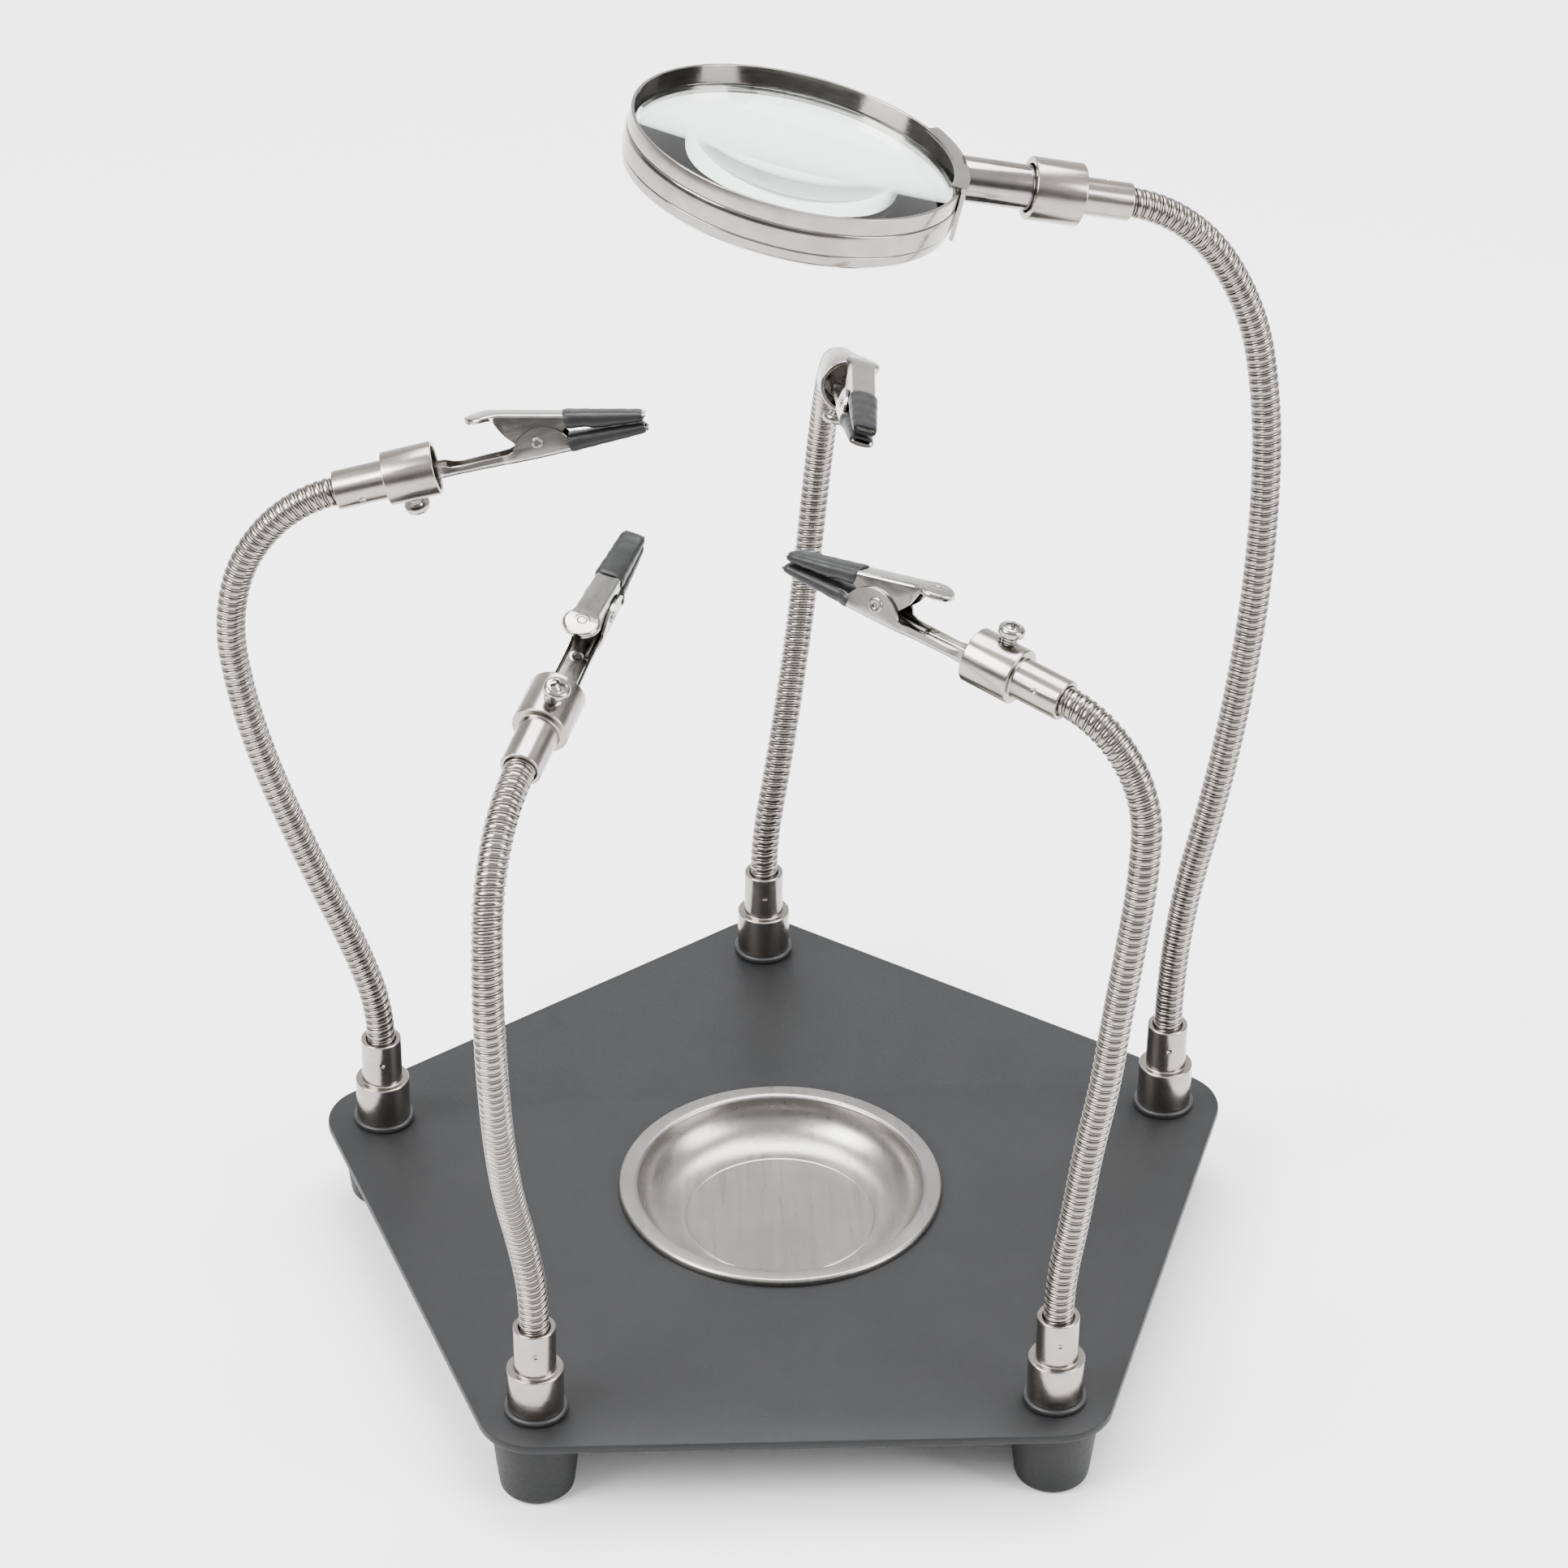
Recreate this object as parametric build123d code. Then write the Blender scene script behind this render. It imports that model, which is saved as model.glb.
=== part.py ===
from build123d import *
import os
from math import acos, cos, degrees, pi, radians, sin, sqrt

# Helping hands for an electronics bench. A five-cornered steel plate on five feet carries a
# bendable metal neck at each corner. Four necks end in a crocodile clip and one in a magnifier.
# Millimetres, +Z up. The origin is on the ground under the middle of the plate, -Y is the front.

# ---------------------------------------------------------------- base plate, feet and tray
CORNERS = 5
corner_circle_radius = 85.0      # from the middle of the plate to each neck
corner_radius = 11.5             # the plate's rounded corners, round the necks
plate_thickness = 2.0
foot_height = 16.5
foot_top_radius = 9.0
foot_bottom_radius = 7.2
foot_edge = 1.2
foot_screw_radius = 2.0
foot_screw_head_radius = 3.7
foot_screw_head_height = 2.4
foot_screw_recess = 6.0          # depth of the pocket in the foot
foot_screw_grip = 7.0            # length of thread inside the collar
screw_clearance = 0.25
tray_rim_radius = 32.9
tray_rim_width = 3.4
tray_rim_height = 1.5            # top of the rim above the plate
tray_depth = 8.8
tray_floor_radius = 21.5
tray_ring_radius = 19.6          # circle pressed into the tray's floor
tray_sheet = 0.6
tray_clearance = 0.6

# ---------------------------------------------------------------- necks and their collars
neck_radius = 2.9
neck_insert = 8.0                # length of neck inside a collar
neck_fit = 0.06
ball_radius = 2.75               # round end of a neck length, a little slimmer than the neck
ball_gap = 0.25                  # between the neck's round end and the next length's cup
arcs_per_length = 3              # each neck is cut into three lengths of three arcs
clip_neck_length = 141.0
magnifier_neck_length = 200.0
gasket_radius = 6.2
gasket_thickness = 1.4
base_collar_radius = 5.5
base_collar_height = 9.0
base_sleeve_radius = 4.1
base_sleeve_height = 9.9
edge_chamfer = 0.4
dent_radius = 0.9                # ball that presses the crimp dents
dent_depth = 0.35
top_small_radius = 3.85
top_small_length = 10.0
top_thick_radius = 5.3
top_thick_length = 10.0
top_web = 1.2                    # wall left behind the socket
socket_radius = 4.4
magnifier_small_radius = 3.6
magnifier_thick_radius = 6.0

# ---------------------------------------------------------------- clamp screws
clamp_radius = 1.5
clamp_fit = 0.06
clamp_head_radius = 2.5
clamp_head_height = 1.9
clamp_stand_off = 1.9            # head above the collar
clamp_tip_gap = 0.15             # between the screw's tip and what it grips
clamp_from_mouth = 5.9           # screw's distance from the collar's open end
magnifier_clamp_from_mouth = 4.5
cross_width = 0.8
cross_length = 3.0
cross_depth = 1.0

# ---------------------------------------------------------------- crocodile clips
# In a clip's own frame X runs from the collar's mouth to the tips, Z is up.
sheet = 0.6
jaw_play = 0.1                   # each side, between the upper jaw and the ears
upper_half_width = 2.45
tip_half_width = 2.0
tail_half_width = 2.9
tail_insert = 8.0
tail_floor = -1.9
jaw_floor = -2.4
tip_floor = -2.0
tail_wall_top = -0.7
tail_mouth_top = 0.6
tail_hole_radius = 0.95
tail_hole_x = 8.6
jaw_length = 41.6
sleeve_start = 26.3
sleeve_end = 41.0
sleeve_wall = 0.5
sleeve_gap = 0.12                # between the two closed sleeves
pivot_x = 20.4
pivot_z = 0.9
ear_radius = 6.1
ear_x = 20.9                     # the ears are round about the jaw's underside
mouth_start = 31.0
mouth_tip_z = -0.9               # lower jaw's teeth at the tip
mouth_slope = 0.085
mouth_relief = 0.9               # gap behind the teeth
tooth_height = 0.7
TEETH = 6
roof_tip_z = 1.3
roof_slope = 0.24
hub_radius = 2.4                 # upper jaw's cheeks round the rivet
pad_x = 11.1
pad_radius = 3.55
pad_z = 8.2
pad_lip = 1.0
pad_dimple_radius = 1.1
rivet_radius = 1.1
rivet_bore = 0.55
rivet_fit = 0.05
rivet_head_radius = 1.55
rivet_head = 0.35
spring_wire = 0.7
SPRING_TURNS = 4
spring_rivet_gap = 0.2
spring_side_gap = 0.1

# ---------------------------------------------------------------- magnifier
handle_radius = 4.3
handle_wall = 0.8
handle_insert = 8.0
handle_visible = 13.8            # from the collar's mouth to the ring's wall
handle_gap = 0.35                # between the handle and the collar's bore
ring_radius = 31.6
ring_height = 10.4
ring_wall = 0.9
ring_above_handle = 2.9          # ring's top edge above the handle's axis
ring_ledge = 1.1                 # inward step that the glass rests on
ring_ledge_height = 3.4          # the glass sits at mid-height
ring_band = 3.2                  # height of the upper, narrower band
ring_bead = 0.35
yoke_thickness = 0.8
yoke_height = 9.8
yoke_flange = 2.2
yoke_half_angle = 24.0
lens_bulge = 3.1
lens_edge = 3.0
lens_clearance = 0.1

# ---------------------------------------------------------------- how the arms are bent
# facing: the way an arm leans over, in degrees from +X. lean and swing: where the neck points
# at the end of each arc, tipped towards facing and to its left. clip_roll and screw_roll turn
# the clip and the clamp screw about the neck's end.
ARMS = {
    "back": {
        "corner": 0, "facing": -94, "end": "clip", "clip_roll": -17, "screw_roll": 165,
        "lean": [-11, -19, -23, -21, -12, 3, 23, 48, 74],
        "swing": [9, 8, 7, 6, 5, 5, 5, 5, 5],
    },
    "left": {
        "corner": 1, "facing": -1, "end": "clip", "clip_roll": -16, "screw_roll": -172,
        "lean": [-17, -22, -21, -19, -14, -7, 13, 42, 76],
        "swing": [0, 1, 2, 2, 2, 1, 0, 1, 1],
    },
    "front_left": {
        "corner": 2, "facing": 73, "end": "clip", "clip_roll": 10, "screw_roll": 20,
        "lean": [-15, -24, -25, -20, -11, 3, 22, 48, 76],
        "swing": [3, 1, -3, -3, -1, 2, 5, 1, -4],
    },
    "front_right": {
        "corner": 3, "facing": 149, "end": "clip", "clip_roll": 15, "screw_roll": 10,
        "lean": [-8, -6, -9, -5, -6, -5, 2, 38, 82],
        "swing": [-2, -2, -3, -3, -3, -4, -6, -4, -7],
    },
    "magnifier": {
        "corner": 4, "facing": 181, "end": "magnifier", "clip_roll": 0, "screw_roll": 95,
        "lean": [-5, -11, -8, -6, -3, 1, 10, 35, 77],
        "swing": [2, 3, 2, 0, -3, -5, -6, -4, 6],
    },
}

# ---------------------------------------------------------------- sizes that follow
plate_bottom = foot_height
plate_top = foot_height + plate_thickness
collar_bottom = plate_top + gasket_thickness
collar_step = collar_bottom + base_collar_height
collar_top = collar_step + base_sleeve_height
tray_hole_radius = tray_rim_radius - tray_rim_width + tray_clearance
lower_half_width = upper_half_width + jaw_play + sheet
top_length = top_small_length + top_thick_length
UP = Vector(0, 0, 1)


# ---------------------------------------------------------------- helpers
def face_of(points):
    """Closed flat face in the XZ plane from (x, z) points."""
    return Plane.XZ * make_face(Polyline(*points, close=True))


def turned(points):
    """Solid turned about X from (along, radius) points."""
    return revolve(face_of(points), Axis.X)


def turned_upright(points):
    """Solid turned about Z from (radius, height) points."""
    return revolve(face_of(points), Axis.Z)


def cheek(face, half_width):
    """A side outline given thickness both ways along Y."""
    return extrude(face, amount=half_width, both=True)


def plan(points):
    """Tall prism over a half plan outline, given as (x, half width) points."""
    mirrored = [(x, -y) for x, y in reversed(points)]
    return extrude(make_face(Polyline(*points, *mirrored, close=True)), amount=30, both=True)


def across(radius, x, z, half_length):
    """Round bar along Y."""
    return Pos(x, 0, z) * Rot(90, 0, 0) * Cylinder(radius, 2 * half_length)


def upright(radius, x, height, bottom=0.0):
    """Round bar along Z that starts at bottom."""
    return Pos(x, 0, bottom + height / 2) * Cylinder(radius, height)


def group(solids):
    """Separate solids as one sub-part."""
    return Compound(children=[solid for shape in solids for solid in shape.solids()])


def corner_point(index):
    """A corner's neck axis, where it meets the ground. Corner 0 is at the back."""
    angle = pi / 2 + index * 2 * pi / CORNERS
    return Vector(corner_circle_radius * cos(angle), corner_circle_radius * sin(angle), 0)


def at_corners(shape):
    """The same shape at every corner of the plate, facing outwards."""
    return group([
        Pos(*corner_point(i)) * Rot(0, 0, 90 + i * 360 / CORNERS) * shape for i in range(CORNERS)
    ])


# ---------------------------------------------------------------- base
def base_plate():
    corners = [corner_point(i) for i in range(CORNERS)]
    outline = make_face(Polyline(*[(p.X, p.Y) for p in corners], close=True))
    outline = offset(outline, amount=corner_radius, kind=Kind.ARC)
    plate = Pos(0, 0, plate_bottom) * extrude(outline, amount=plate_thickness)
    hole = upright(tray_hole_radius, 0, plate_thickness, plate_bottom)
    plate -= hole
    for p in corners:
        plate -= Pos(p.X, p.Y, 0) * upright(
            foot_screw_radius + screw_clearance, 0, plate_thickness, plate_bottom)
    return plate


def foot():
    bore = foot_screw_radius + screw_clearance
    pocket = foot_screw_head_radius + screw_clearance
    body = turned_upright([
        (pocket, 0), (foot_bottom_radius - foot_edge, 0), (foot_bottom_radius, foot_edge),
        (foot_top_radius, foot_height), (bore, foot_height), (bore, foot_screw_recess),
        (pocket, foot_screw_recess),
    ])
    return body


def cross_recess(length, width, depth):
    """Cross-shaped driver recess, cut down from z = 0."""
    bar = Pos(0, 0, -depth / 2) * Box(length, width, depth)
    return bar + Rot(0, 0, 90) * bar


def foot_screw():
    top = foot_screw_recess - foot_screw_head_height
    dome = foot_screw_head_height * 0.35
    length = foot_height - foot_screw_recess + plate_thickness + gasket_thickness + foot_screw_grip
    screw = turned_upright([
        (0, top), (foot_screw_head_radius * 0.7, top), (foot_screw_head_radius, top + dome),
        (foot_screw_head_radius, foot_screw_recess), (foot_screw_radius, foot_screw_recess),
        (foot_screw_radius, foot_screw_recess + length - edge_chamfer),
        (foot_screw_radius - edge_chamfer, foot_screw_recess + length),
        (0, foot_screw_recess + length),
    ])
    recess = cross_recess(cross_length * 1.3, cross_width * 1.3, cross_depth * 1.3)
    return screw - Pos(0, 0, top) * Rot(180, 0, 0) * recess


def gasket():
    return turned_upright([
        (foot_screw_radius + screw_clearance, plate_top), (gasket_radius, plate_top),
        (gasket_radius, collar_bottom - edge_chamfer),
        (gasket_radius - edge_chamfer, collar_bottom),
        (foot_screw_radius + screw_clearance, collar_bottom),
    ])


def base_collar():
    c = edge_chamfer
    bore = neck_radius + neck_fit
    thread = foot_screw_radius + neck_fit
    thread_top = collar_bottom + foot_screw_grip + 1.0
    collar = turned_upright([
        (thread, collar_bottom), (base_collar_radius - c, collar_bottom),
        (base_collar_radius, collar_bottom + c), (base_collar_radius, collar_step - c),
        (base_collar_radius - c, collar_step), (base_sleeve_radius, collar_step),
        (base_sleeve_radius, collar_top - c), (base_sleeve_radius - c, collar_top),
        (bore, collar_top), (bore, collar_top - neck_insert - neck_fit),
        (thread, collar_top - neck_insert - neck_fit),
    ])
    collar -= upright(thread, 0, thread_top - collar_bottom, collar_bottom)
    for side in (-1, 1):
        centre = side * (base_sleeve_radius + dent_radius - dent_depth)
        collar -= Pos(centre, 0, collar_step + base_sleeve_height / 2) * Sphere(dent_radius)
    return collar


def tray():
    """Dish with a flat rim that stands on the plate by its turned-down lip."""
    rim = plate_top + tray_rim_height
    mouth = tray_rim_radius - tray_rim_width
    floor = rim - tray_depth
    wall = Vector(mouth, rim), Vector(tray_floor_radius, floor)
    bulge = (wall[0] + wall[1]) * 0.5 + Vector(wall[0].Y - wall[1].Y, wall[1].X - wall[0].X) * 0.16
    inside = [
        Line((0, floor), (tray_floor_radius, floor)),
        ThreePointArc((tray_floor_radius, floor), bulge, (mouth, rim)),
        Line((mouth, rim), (tray_rim_radius - tray_sheet, rim)),
        Line((tray_rim_radius - tray_sheet, rim), (tray_rim_radius, rim - tray_sheet)),
        Line((tray_rim_radius, rim - tray_sheet), (tray_rim_radius, plate_top)),
        Line((tray_rim_radius, plate_top), (tray_rim_radius - tray_sheet, plate_top)),
        Line((tray_rim_radius - tray_sheet, plate_top), (tray_rim_radius - tray_sheet, rim - tray_sheet)),
    ]
    low = bulge - Vector(-tray_sheet, tray_sheet) * 0.7
    outside = [
        Line((tray_rim_radius - tray_sheet, rim - tray_sheet), (mouth + tray_sheet, rim - tray_sheet)),
        ThreePointArc(
            (mouth + tray_sheet, rim - tray_sheet), low, (tray_floor_radius, floor - tray_sheet)),
        Line((tray_floor_radius, floor - tray_sheet), (0, floor - tray_sheet)),
        Line((0, floor - tray_sheet), (0, floor)),
    ]
    dish = revolve(Plane.XZ * make_face(inside + outside), Axis.Z)
    step = tray_sheet * 0.4
    groove = upright(tray_ring_radius, 0, step, floor - step)
    groove -= upright(tray_ring_radius - 0.8, 0, step, floor - step)
    return dish - groove


# ---------------------------------------------------------------- the route of a neck
def heading(arm, lean, swing):
    facing = radians(arm["facing"])
    ahead = Vector(cos(facing), sin(facing), 0)
    left = Vector(-sin(facing), cos(facing), 0)
    upright_part = UP * cos(radians(lean)) + ahead * sin(radians(lean))
    return upright_part * cos(radians(swing)) + left * sin(radians(swing))


def arc_edge(point, start, end, length):
    """Arc of a set length from one heading to the next. Gives the edge and its end."""
    turn = acos(max(-1.0, min(1.0, start.dot(end))))
    if degrees(turn) < 0.5:
        return Line(point, point + start * length), point + start * length
    radius = length / turn
    inward = (end - start * cos(turn)) * (1 / sin(turn))

    def on_arc(angle):
        return point + start * (radius * sin(angle)) + inward * (radius * (1 - cos(angle)))

    return ThreePointArc(point, on_arc(turn / 2), on_arc(turn)), on_arc(turn)


def neck_route(arm):
    """The neck's arcs, and the place and heading at both ends of each one."""
    length = clip_neck_length if arm["end"] == "clip" else magnifier_neck_length
    step = length / len(arm["lean"])
    point = corner_point(arm["corner"]) + UP * collar_top
    stations = [(point, UP)]
    edges = []
    for lean, swing in zip(arm["lean"], arm["swing"]):
        edge, point_after = arc_edge(point, stations[-1][1], heading(arm, lean, swing), step)
        edges.append(edge)
        point = point_after
        stations.append((point, heading(arm, lean, swing)))
    return edges, stations


def bend_axis(arm, direction):
    """Level axis across the arm, square to the neck. A positive turn lowers the arm's end."""
    return UP.cross(heading(arm, 90, 0)).cross(direction).cross(direction).normalized() * -1


def rod(edges, radius):
    first = edges[0]
    section = Plane(origin=first @ 0, z_dir=first % 0) * Circle(radius)
    return sweep(section, path=Wire(edges))


def neck_lengths(arm):
    """The lower, middle and upper lengths, each with a cup below and a round end above."""
    edges, stations = neck_route(arm)
    foot_point = stations[0][0] - UP * neck_insert
    top_point, top_heading = stations[-1]
    edges = [Line(foot_point, stations[0][0])] + edges
    edges.append(Line(top_point, top_point + top_heading * neck_insert))
    cuts = [1 + arcs_per_length, 1 + 2 * arcs_per_length]
    spans = [edges[:cuts[0]], edges[cuts[0]:cuts[1]], edges[cuts[1]:]]
    lengths = []
    for order, span in enumerate(spans):
        length = rod(span, neck_radius)
        if order < 2:
            length += Pos(*stations[arcs_per_length * (order + 1)][0]) * Sphere(ball_radius)
        if order > 0:
            pivot = stations[arcs_per_length * order][0]
            length -= Pos(*pivot) * Sphere(ball_radius + ball_gap)
        lengths.append(length)
    return lengths


def end_frame(arm, roll):
    """Frame at the neck's end: X along the neck, Z up and turned by roll about the neck."""
    point, direction = neck_route(arm)[1][-1]
    level_up = (UP - direction * UP.dot(direction)).normalized()
    sideways = direction.cross(level_up)
    z_dir = level_up * cos(radians(roll)) + sideways * sin(radians(roll))
    return Plane(origin=point, x_dir=direction, z_dir=z_dir).location


def mouth_frame(arm, roll):
    """The same frame moved to the open end of the top collar."""
    return end_frame(arm, roll) * Pos(top_length, 0, 0)


# ---------------------------------------------------------------- top collar and clamp screw
def top_collar(small_radius, thick_radius, bore_radius, clamp_x):
    """Stepped collar along X. Its clamp screw's hole is on the +Z side."""
    c = edge_chamfer
    neck_bore = neck_radius + neck_fit
    collar = turned([
        (0, neck_bore), (0, small_radius - c), (c, small_radius),
        (top_small_length, small_radius), (top_small_length, thick_radius - c),
        (top_small_length + c, thick_radius), (top_length - c, thick_radius),
        (top_length, thick_radius - c), (top_length, bore_radius),
        (top_small_length + top_web, bore_radius), (top_small_length + top_web, 0),
        (neck_insert + neck_fit, 0), (neck_insert + neck_fit, neck_bore),
    ])
    collar -= upright(clamp_radius + clamp_fit, clamp_x, thick_radius + 1)
    for side in (-1, 1):
        centre = side * (small_radius + dent_radius - dent_depth)
        collar -= Pos(top_small_length / 2, 0, centre) * Sphere(dent_radius)
    return collar


def clamp_screw(thick_radius, tip_radius):
    """Pan-head cross-recess screw along Z. Its tip stands at tip_radius from the axis."""
    seat = thick_radius + clamp_stand_off
    top = seat + clamp_head_height
    screw = turned_upright([
        (0, tip_radius), (clamp_radius - edge_chamfer, tip_radius),
        (clamp_radius, tip_radius + edge_chamfer), (clamp_radius, seat),
        (clamp_head_radius, seat), (clamp_head_radius, seat + clamp_head_height * 0.55),
        (clamp_head_radius * 0.8, top - clamp_head_height * 0.1),
        (clamp_head_radius * 0.45, top), (0, top),
    ])
    return screw - Pos(0, 0, top) * cross_recess(cross_length, cross_width, cross_depth)


# ---------------------------------------------------------------- crocodile clip
def mouth_z(x):
    """Height of the lower jaw's edge in front of the ears."""
    return mouth_tip_z + (jaw_length - x) * mouth_slope


def roof_z(x):
    """Height of the upper jaw's outer roof."""
    return roof_tip_z + (jaw_length - x) * roof_slope


def toothed(start, end, height_at, depth):
    """Points along a toothed edge, from start to end."""
    pitch = (end - start) / TEETH
    points = []
    for i in range(TEETH):
        points.append((start + i * pitch, height_at(start + i * pitch)))
        middle = start + (i + 0.5) * pitch
        points.append((middle, height_at(middle) + depth))
    return points + [(end, height_at(end))]


def jaw_gap():
    """From the lower jaw's edge to the upper jaw's edge, with both sleeves closed."""
    return 2 * sleeve_wall + sleeve_gap


def upper_mouth_z(x):
    return mouth_z(x) + jaw_gap()


def lower_plan(half_extra=0.0):
    e = half_extra
    return plan([
        (-tail_insert - 1, tail_half_width + e), (1.5, tail_half_width + e),
        (5, lower_half_width + e), (sleeve_start, lower_half_width + e),
        (sleeve_start + 2, upper_half_width + e), (jaw_length + 1, tip_half_width + e),
    ])


def upper_plan(half_extra=0.0):
    e = half_extra
    return plan([
        (0, upper_half_width + e), (sleeve_start, upper_half_width + e),
        (jaw_length + 1, tip_half_width + e),
    ])


def lower_jaw():
    """Long channel: tail in the collar, ears round the rivet, toothed jaw in front."""
    ear_front = ear_x + sqrt(ear_radius ** 2 - (mouth_z(sleeve_start) - jaw_floor) ** 2)
    ear_back = ear_x - sqrt(ear_radius ** 2 - (tail_wall_top - jaw_floor) ** 2)
    teeth = toothed(jaw_length, mouth_start, mouth_z, -tooth_height)
    bottom = [
        (-tail_insert, tail_mouth_top), (-tail_insert, tail_floor), (2, tail_floor),
        (pivot_x, jaw_floor), (sleeve_start, jaw_floor), (jaw_length, tip_floor),
    ]
    front_top = teeth + [(mouth_start, mouth_z(mouth_start)), (ear_front, mouth_z(sleeve_start))]
    tail_top = [
        (ear_back, tail_wall_top), (6, tail_wall_top), (2.5, tail_mouth_top),
        (-tail_insert, tail_mouth_top),
    ]
    run = [p for i, p in enumerate(bottom + front_top) if i == 0 or p != (bottom + front_top)[i - 1]]
    outline = make_face([
        Polyline(*run), ThreePointArc(run[-1], (ear_x, jaw_floor + ear_radius), tail_top[0]),
        Polyline(*tail_top),
    ])
    solid = cheek(Plane.XZ * outline, 20) & lower_plan()
    hollow = face_of([
        (-tail_insert - 1, tail_floor + sheet), (2, tail_floor + sheet),
        (pivot_x, jaw_floor + sheet), (sleeve_start, jaw_floor + sheet),
        (jaw_length + 1, tip_floor + sheet), (jaw_length + 1, 20), (-tail_insert - 1, 20),
    ])
    solid -= cheek(hollow, 20) & lower_plan(-sheet)
    solid -= across(rivet_radius + rivet_fit, pivot_x, pivot_z, 20)
    return solid - upright(tail_hole_radius, tail_hole_x, 2.0, tail_floor - 1.0)


def upper_jaw():
    """Short channel with cheeks round the rivet and a round thumb pad behind."""
    rear = pad_x + pad_radius * 0.8
    hub_low = pivot_z - hub_radius
    teeth = toothed(mouth_start, jaw_length, upper_mouth_z, tooth_height)
    front = [
        (pivot_x + hub_radius, pivot_z - 0.3), (sleeve_start, upper_mouth_z(sleeve_start)),
        (sleeve_start + 0.6, upper_mouth_z(sleeve_start) + mouth_relief),
        (mouth_start - 0.6, upper_mouth_z(mouth_start) + mouth_relief),
    ] + teeth + [
        (jaw_length, roof_z(jaw_length)), (rear, roof_z(rear)), (rear, roof_z(rear) - 2.2),
        (pivot_x - hub_radius - 1.6, pivot_z + 1.0), (pivot_x - hub_radius, pivot_z - 0.3),
    ]
    outline = make_face([
        Polyline(*front),
        ThreePointArc(front[-1], (pivot_x, hub_low), front[0]),
    ])
    solid = cheek(Plane.XZ * outline, 20) & upper_plan()
    hollow = face_of([
        (-1, roof_z(-1) - sheet), (jaw_length + 1, roof_z(jaw_length + 1) - sheet),
        (jaw_length + 1, -20), (-1, -20),
    ])
    solid -= cheek(hollow, 20) & upper_plan(-sheet)
    pad = upright(pad_radius, pad_x, pad_lip, pad_z - pad_lip)
    pad -= upright(pad_radius - sheet, pad_x, pad_lip - sheet, pad_z - pad_lip)
    neck = face_of([
        (pad_x, pad_z - sheet), (pad_x, pad_z), (rear + 0.5, roof_z(rear + 0.5)),
        (rear + 0.5, roof_z(rear + 0.5) - sheet),
    ])
    solid += pad + cheek(neck, upper_half_width)
    solid -= Pos(pad_x, 0, pad_z + pad_dimple_radius * 0.7) * Sphere(pad_dimple_radius)
    return solid - across(rivet_radius + rivet_fit, pivot_x, pivot_z, 20)


def lower_sleeve():
    """Shrunk tube round the lower jaw. The jaw's teeth press it from inside."""
    s, e, w = sleeve_start, sleeve_end, sleeve_wall
    inner = face_of([
        (s - 1, jaw_floor), (s, jaw_floor), (jaw_length, tip_floor), (jaw_length, mouth_z(jaw_length)),
        (s - 1, mouth_z(s - 1)),
    ])
    outer = face_of([
        (s, jaw_floor - w), (e, tip_floor - w), (e, mouth_z(e) + w), (s, mouth_z(s) + w),
    ])
    return (cheek(outer, 20) & lower_plan(w)) - (cheek(inner, 20) & lower_plan())


def upper_sleeve():
    s, e, w = sleeve_start, sleeve_end, sleeve_wall
    inner = face_of([
        (s - 1, roof_z(s - 1)), (jaw_length, roof_z(jaw_length)),
        (jaw_length, upper_mouth_z(jaw_length)), (s - 1, upper_mouth_z(s - 1)),
    ])
    outer = face_of([
        (s, roof_z(s) + w), (e, roof_z(e) + w), (e, upper_mouth_z(e) - w),
        (mouth_start - 0.6, upper_mouth_z(mouth_start - 0.6) - w),
        (mouth_start - 1.6, upper_mouth_z(mouth_start - 1.6) - w + mouth_relief / 2),
        (s + 1.2, upper_mouth_z(s + 1.2) - w + mouth_relief / 2),
        (s, upper_mouth_z(s) - w + mouth_relief / 2),
    ])
    return (cheek(outer, 20) & upper_plan(w)) - (cheek(inner, 20) & upper_plan())


def jaw_rivet():
    """Tube through both jaws, rolled over at its ends."""
    half = lower_half_width
    body = turned([
        (-half - rivet_head, rivet_bore), (-half - rivet_head, rivet_head_radius * 0.8),
        (-half, rivet_head_radius), (-half, rivet_radius), (half, rivet_radius),
        (half, rivet_head_radius), (half + rivet_head, rivet_head_radius * 0.8),
        (half + rivet_head, rivet_bore),
    ])
    return Pos(pivot_x, 0, pivot_z) * Rot(0, 0, 90) * body


def jaw_spring():
    """Turns of wire round the rivet, with one leg under the thumb pad and one on the tail."""
    wire = spring_wire / 2
    coil_radius = rivet_radius + spring_rivet_gap + wire
    half = upper_half_width - sheet - spring_side_gap - wire
    turns = []
    for i in range(SPRING_TURNS):
        y = -half + i * 2 * half / (SPRING_TURNS - 1)
        turns.append(Pos(pivot_x, y, pivot_z) * Rot(90, 0, 0) * Torus(coil_radius, wire))
    low_end = (pivot_x - 9.0, 0, jaw_floor + sheet + wire + 0.35)
    high_end = (pivot_x - 5.0, 0, roof_z(pivot_x - 5.0) - sheet - wire - 0.25)
    for index, end, z in ((0, low_end, -coil_radius), (-1, high_end, coil_radius)):
        y = -half if index == 0 else half
        start = Vector(pivot_x, y, pivot_z + z)
        stop = Vector(end[0], y, end[2])
        leg = Line(start, stop)
        turns[index] += sweep(Plane(origin=start, z_dir=leg % 0) * Circle(wire), path=leg)
    return group(turns)


# ---------------------------------------------------------------- magnifier
# In its frame X runs from the collar's mouth through the ring's middle, and Z is the ring's axis.
def ring_centre():
    return Pos(handle_visible + ring_radius, 0, 0)


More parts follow.
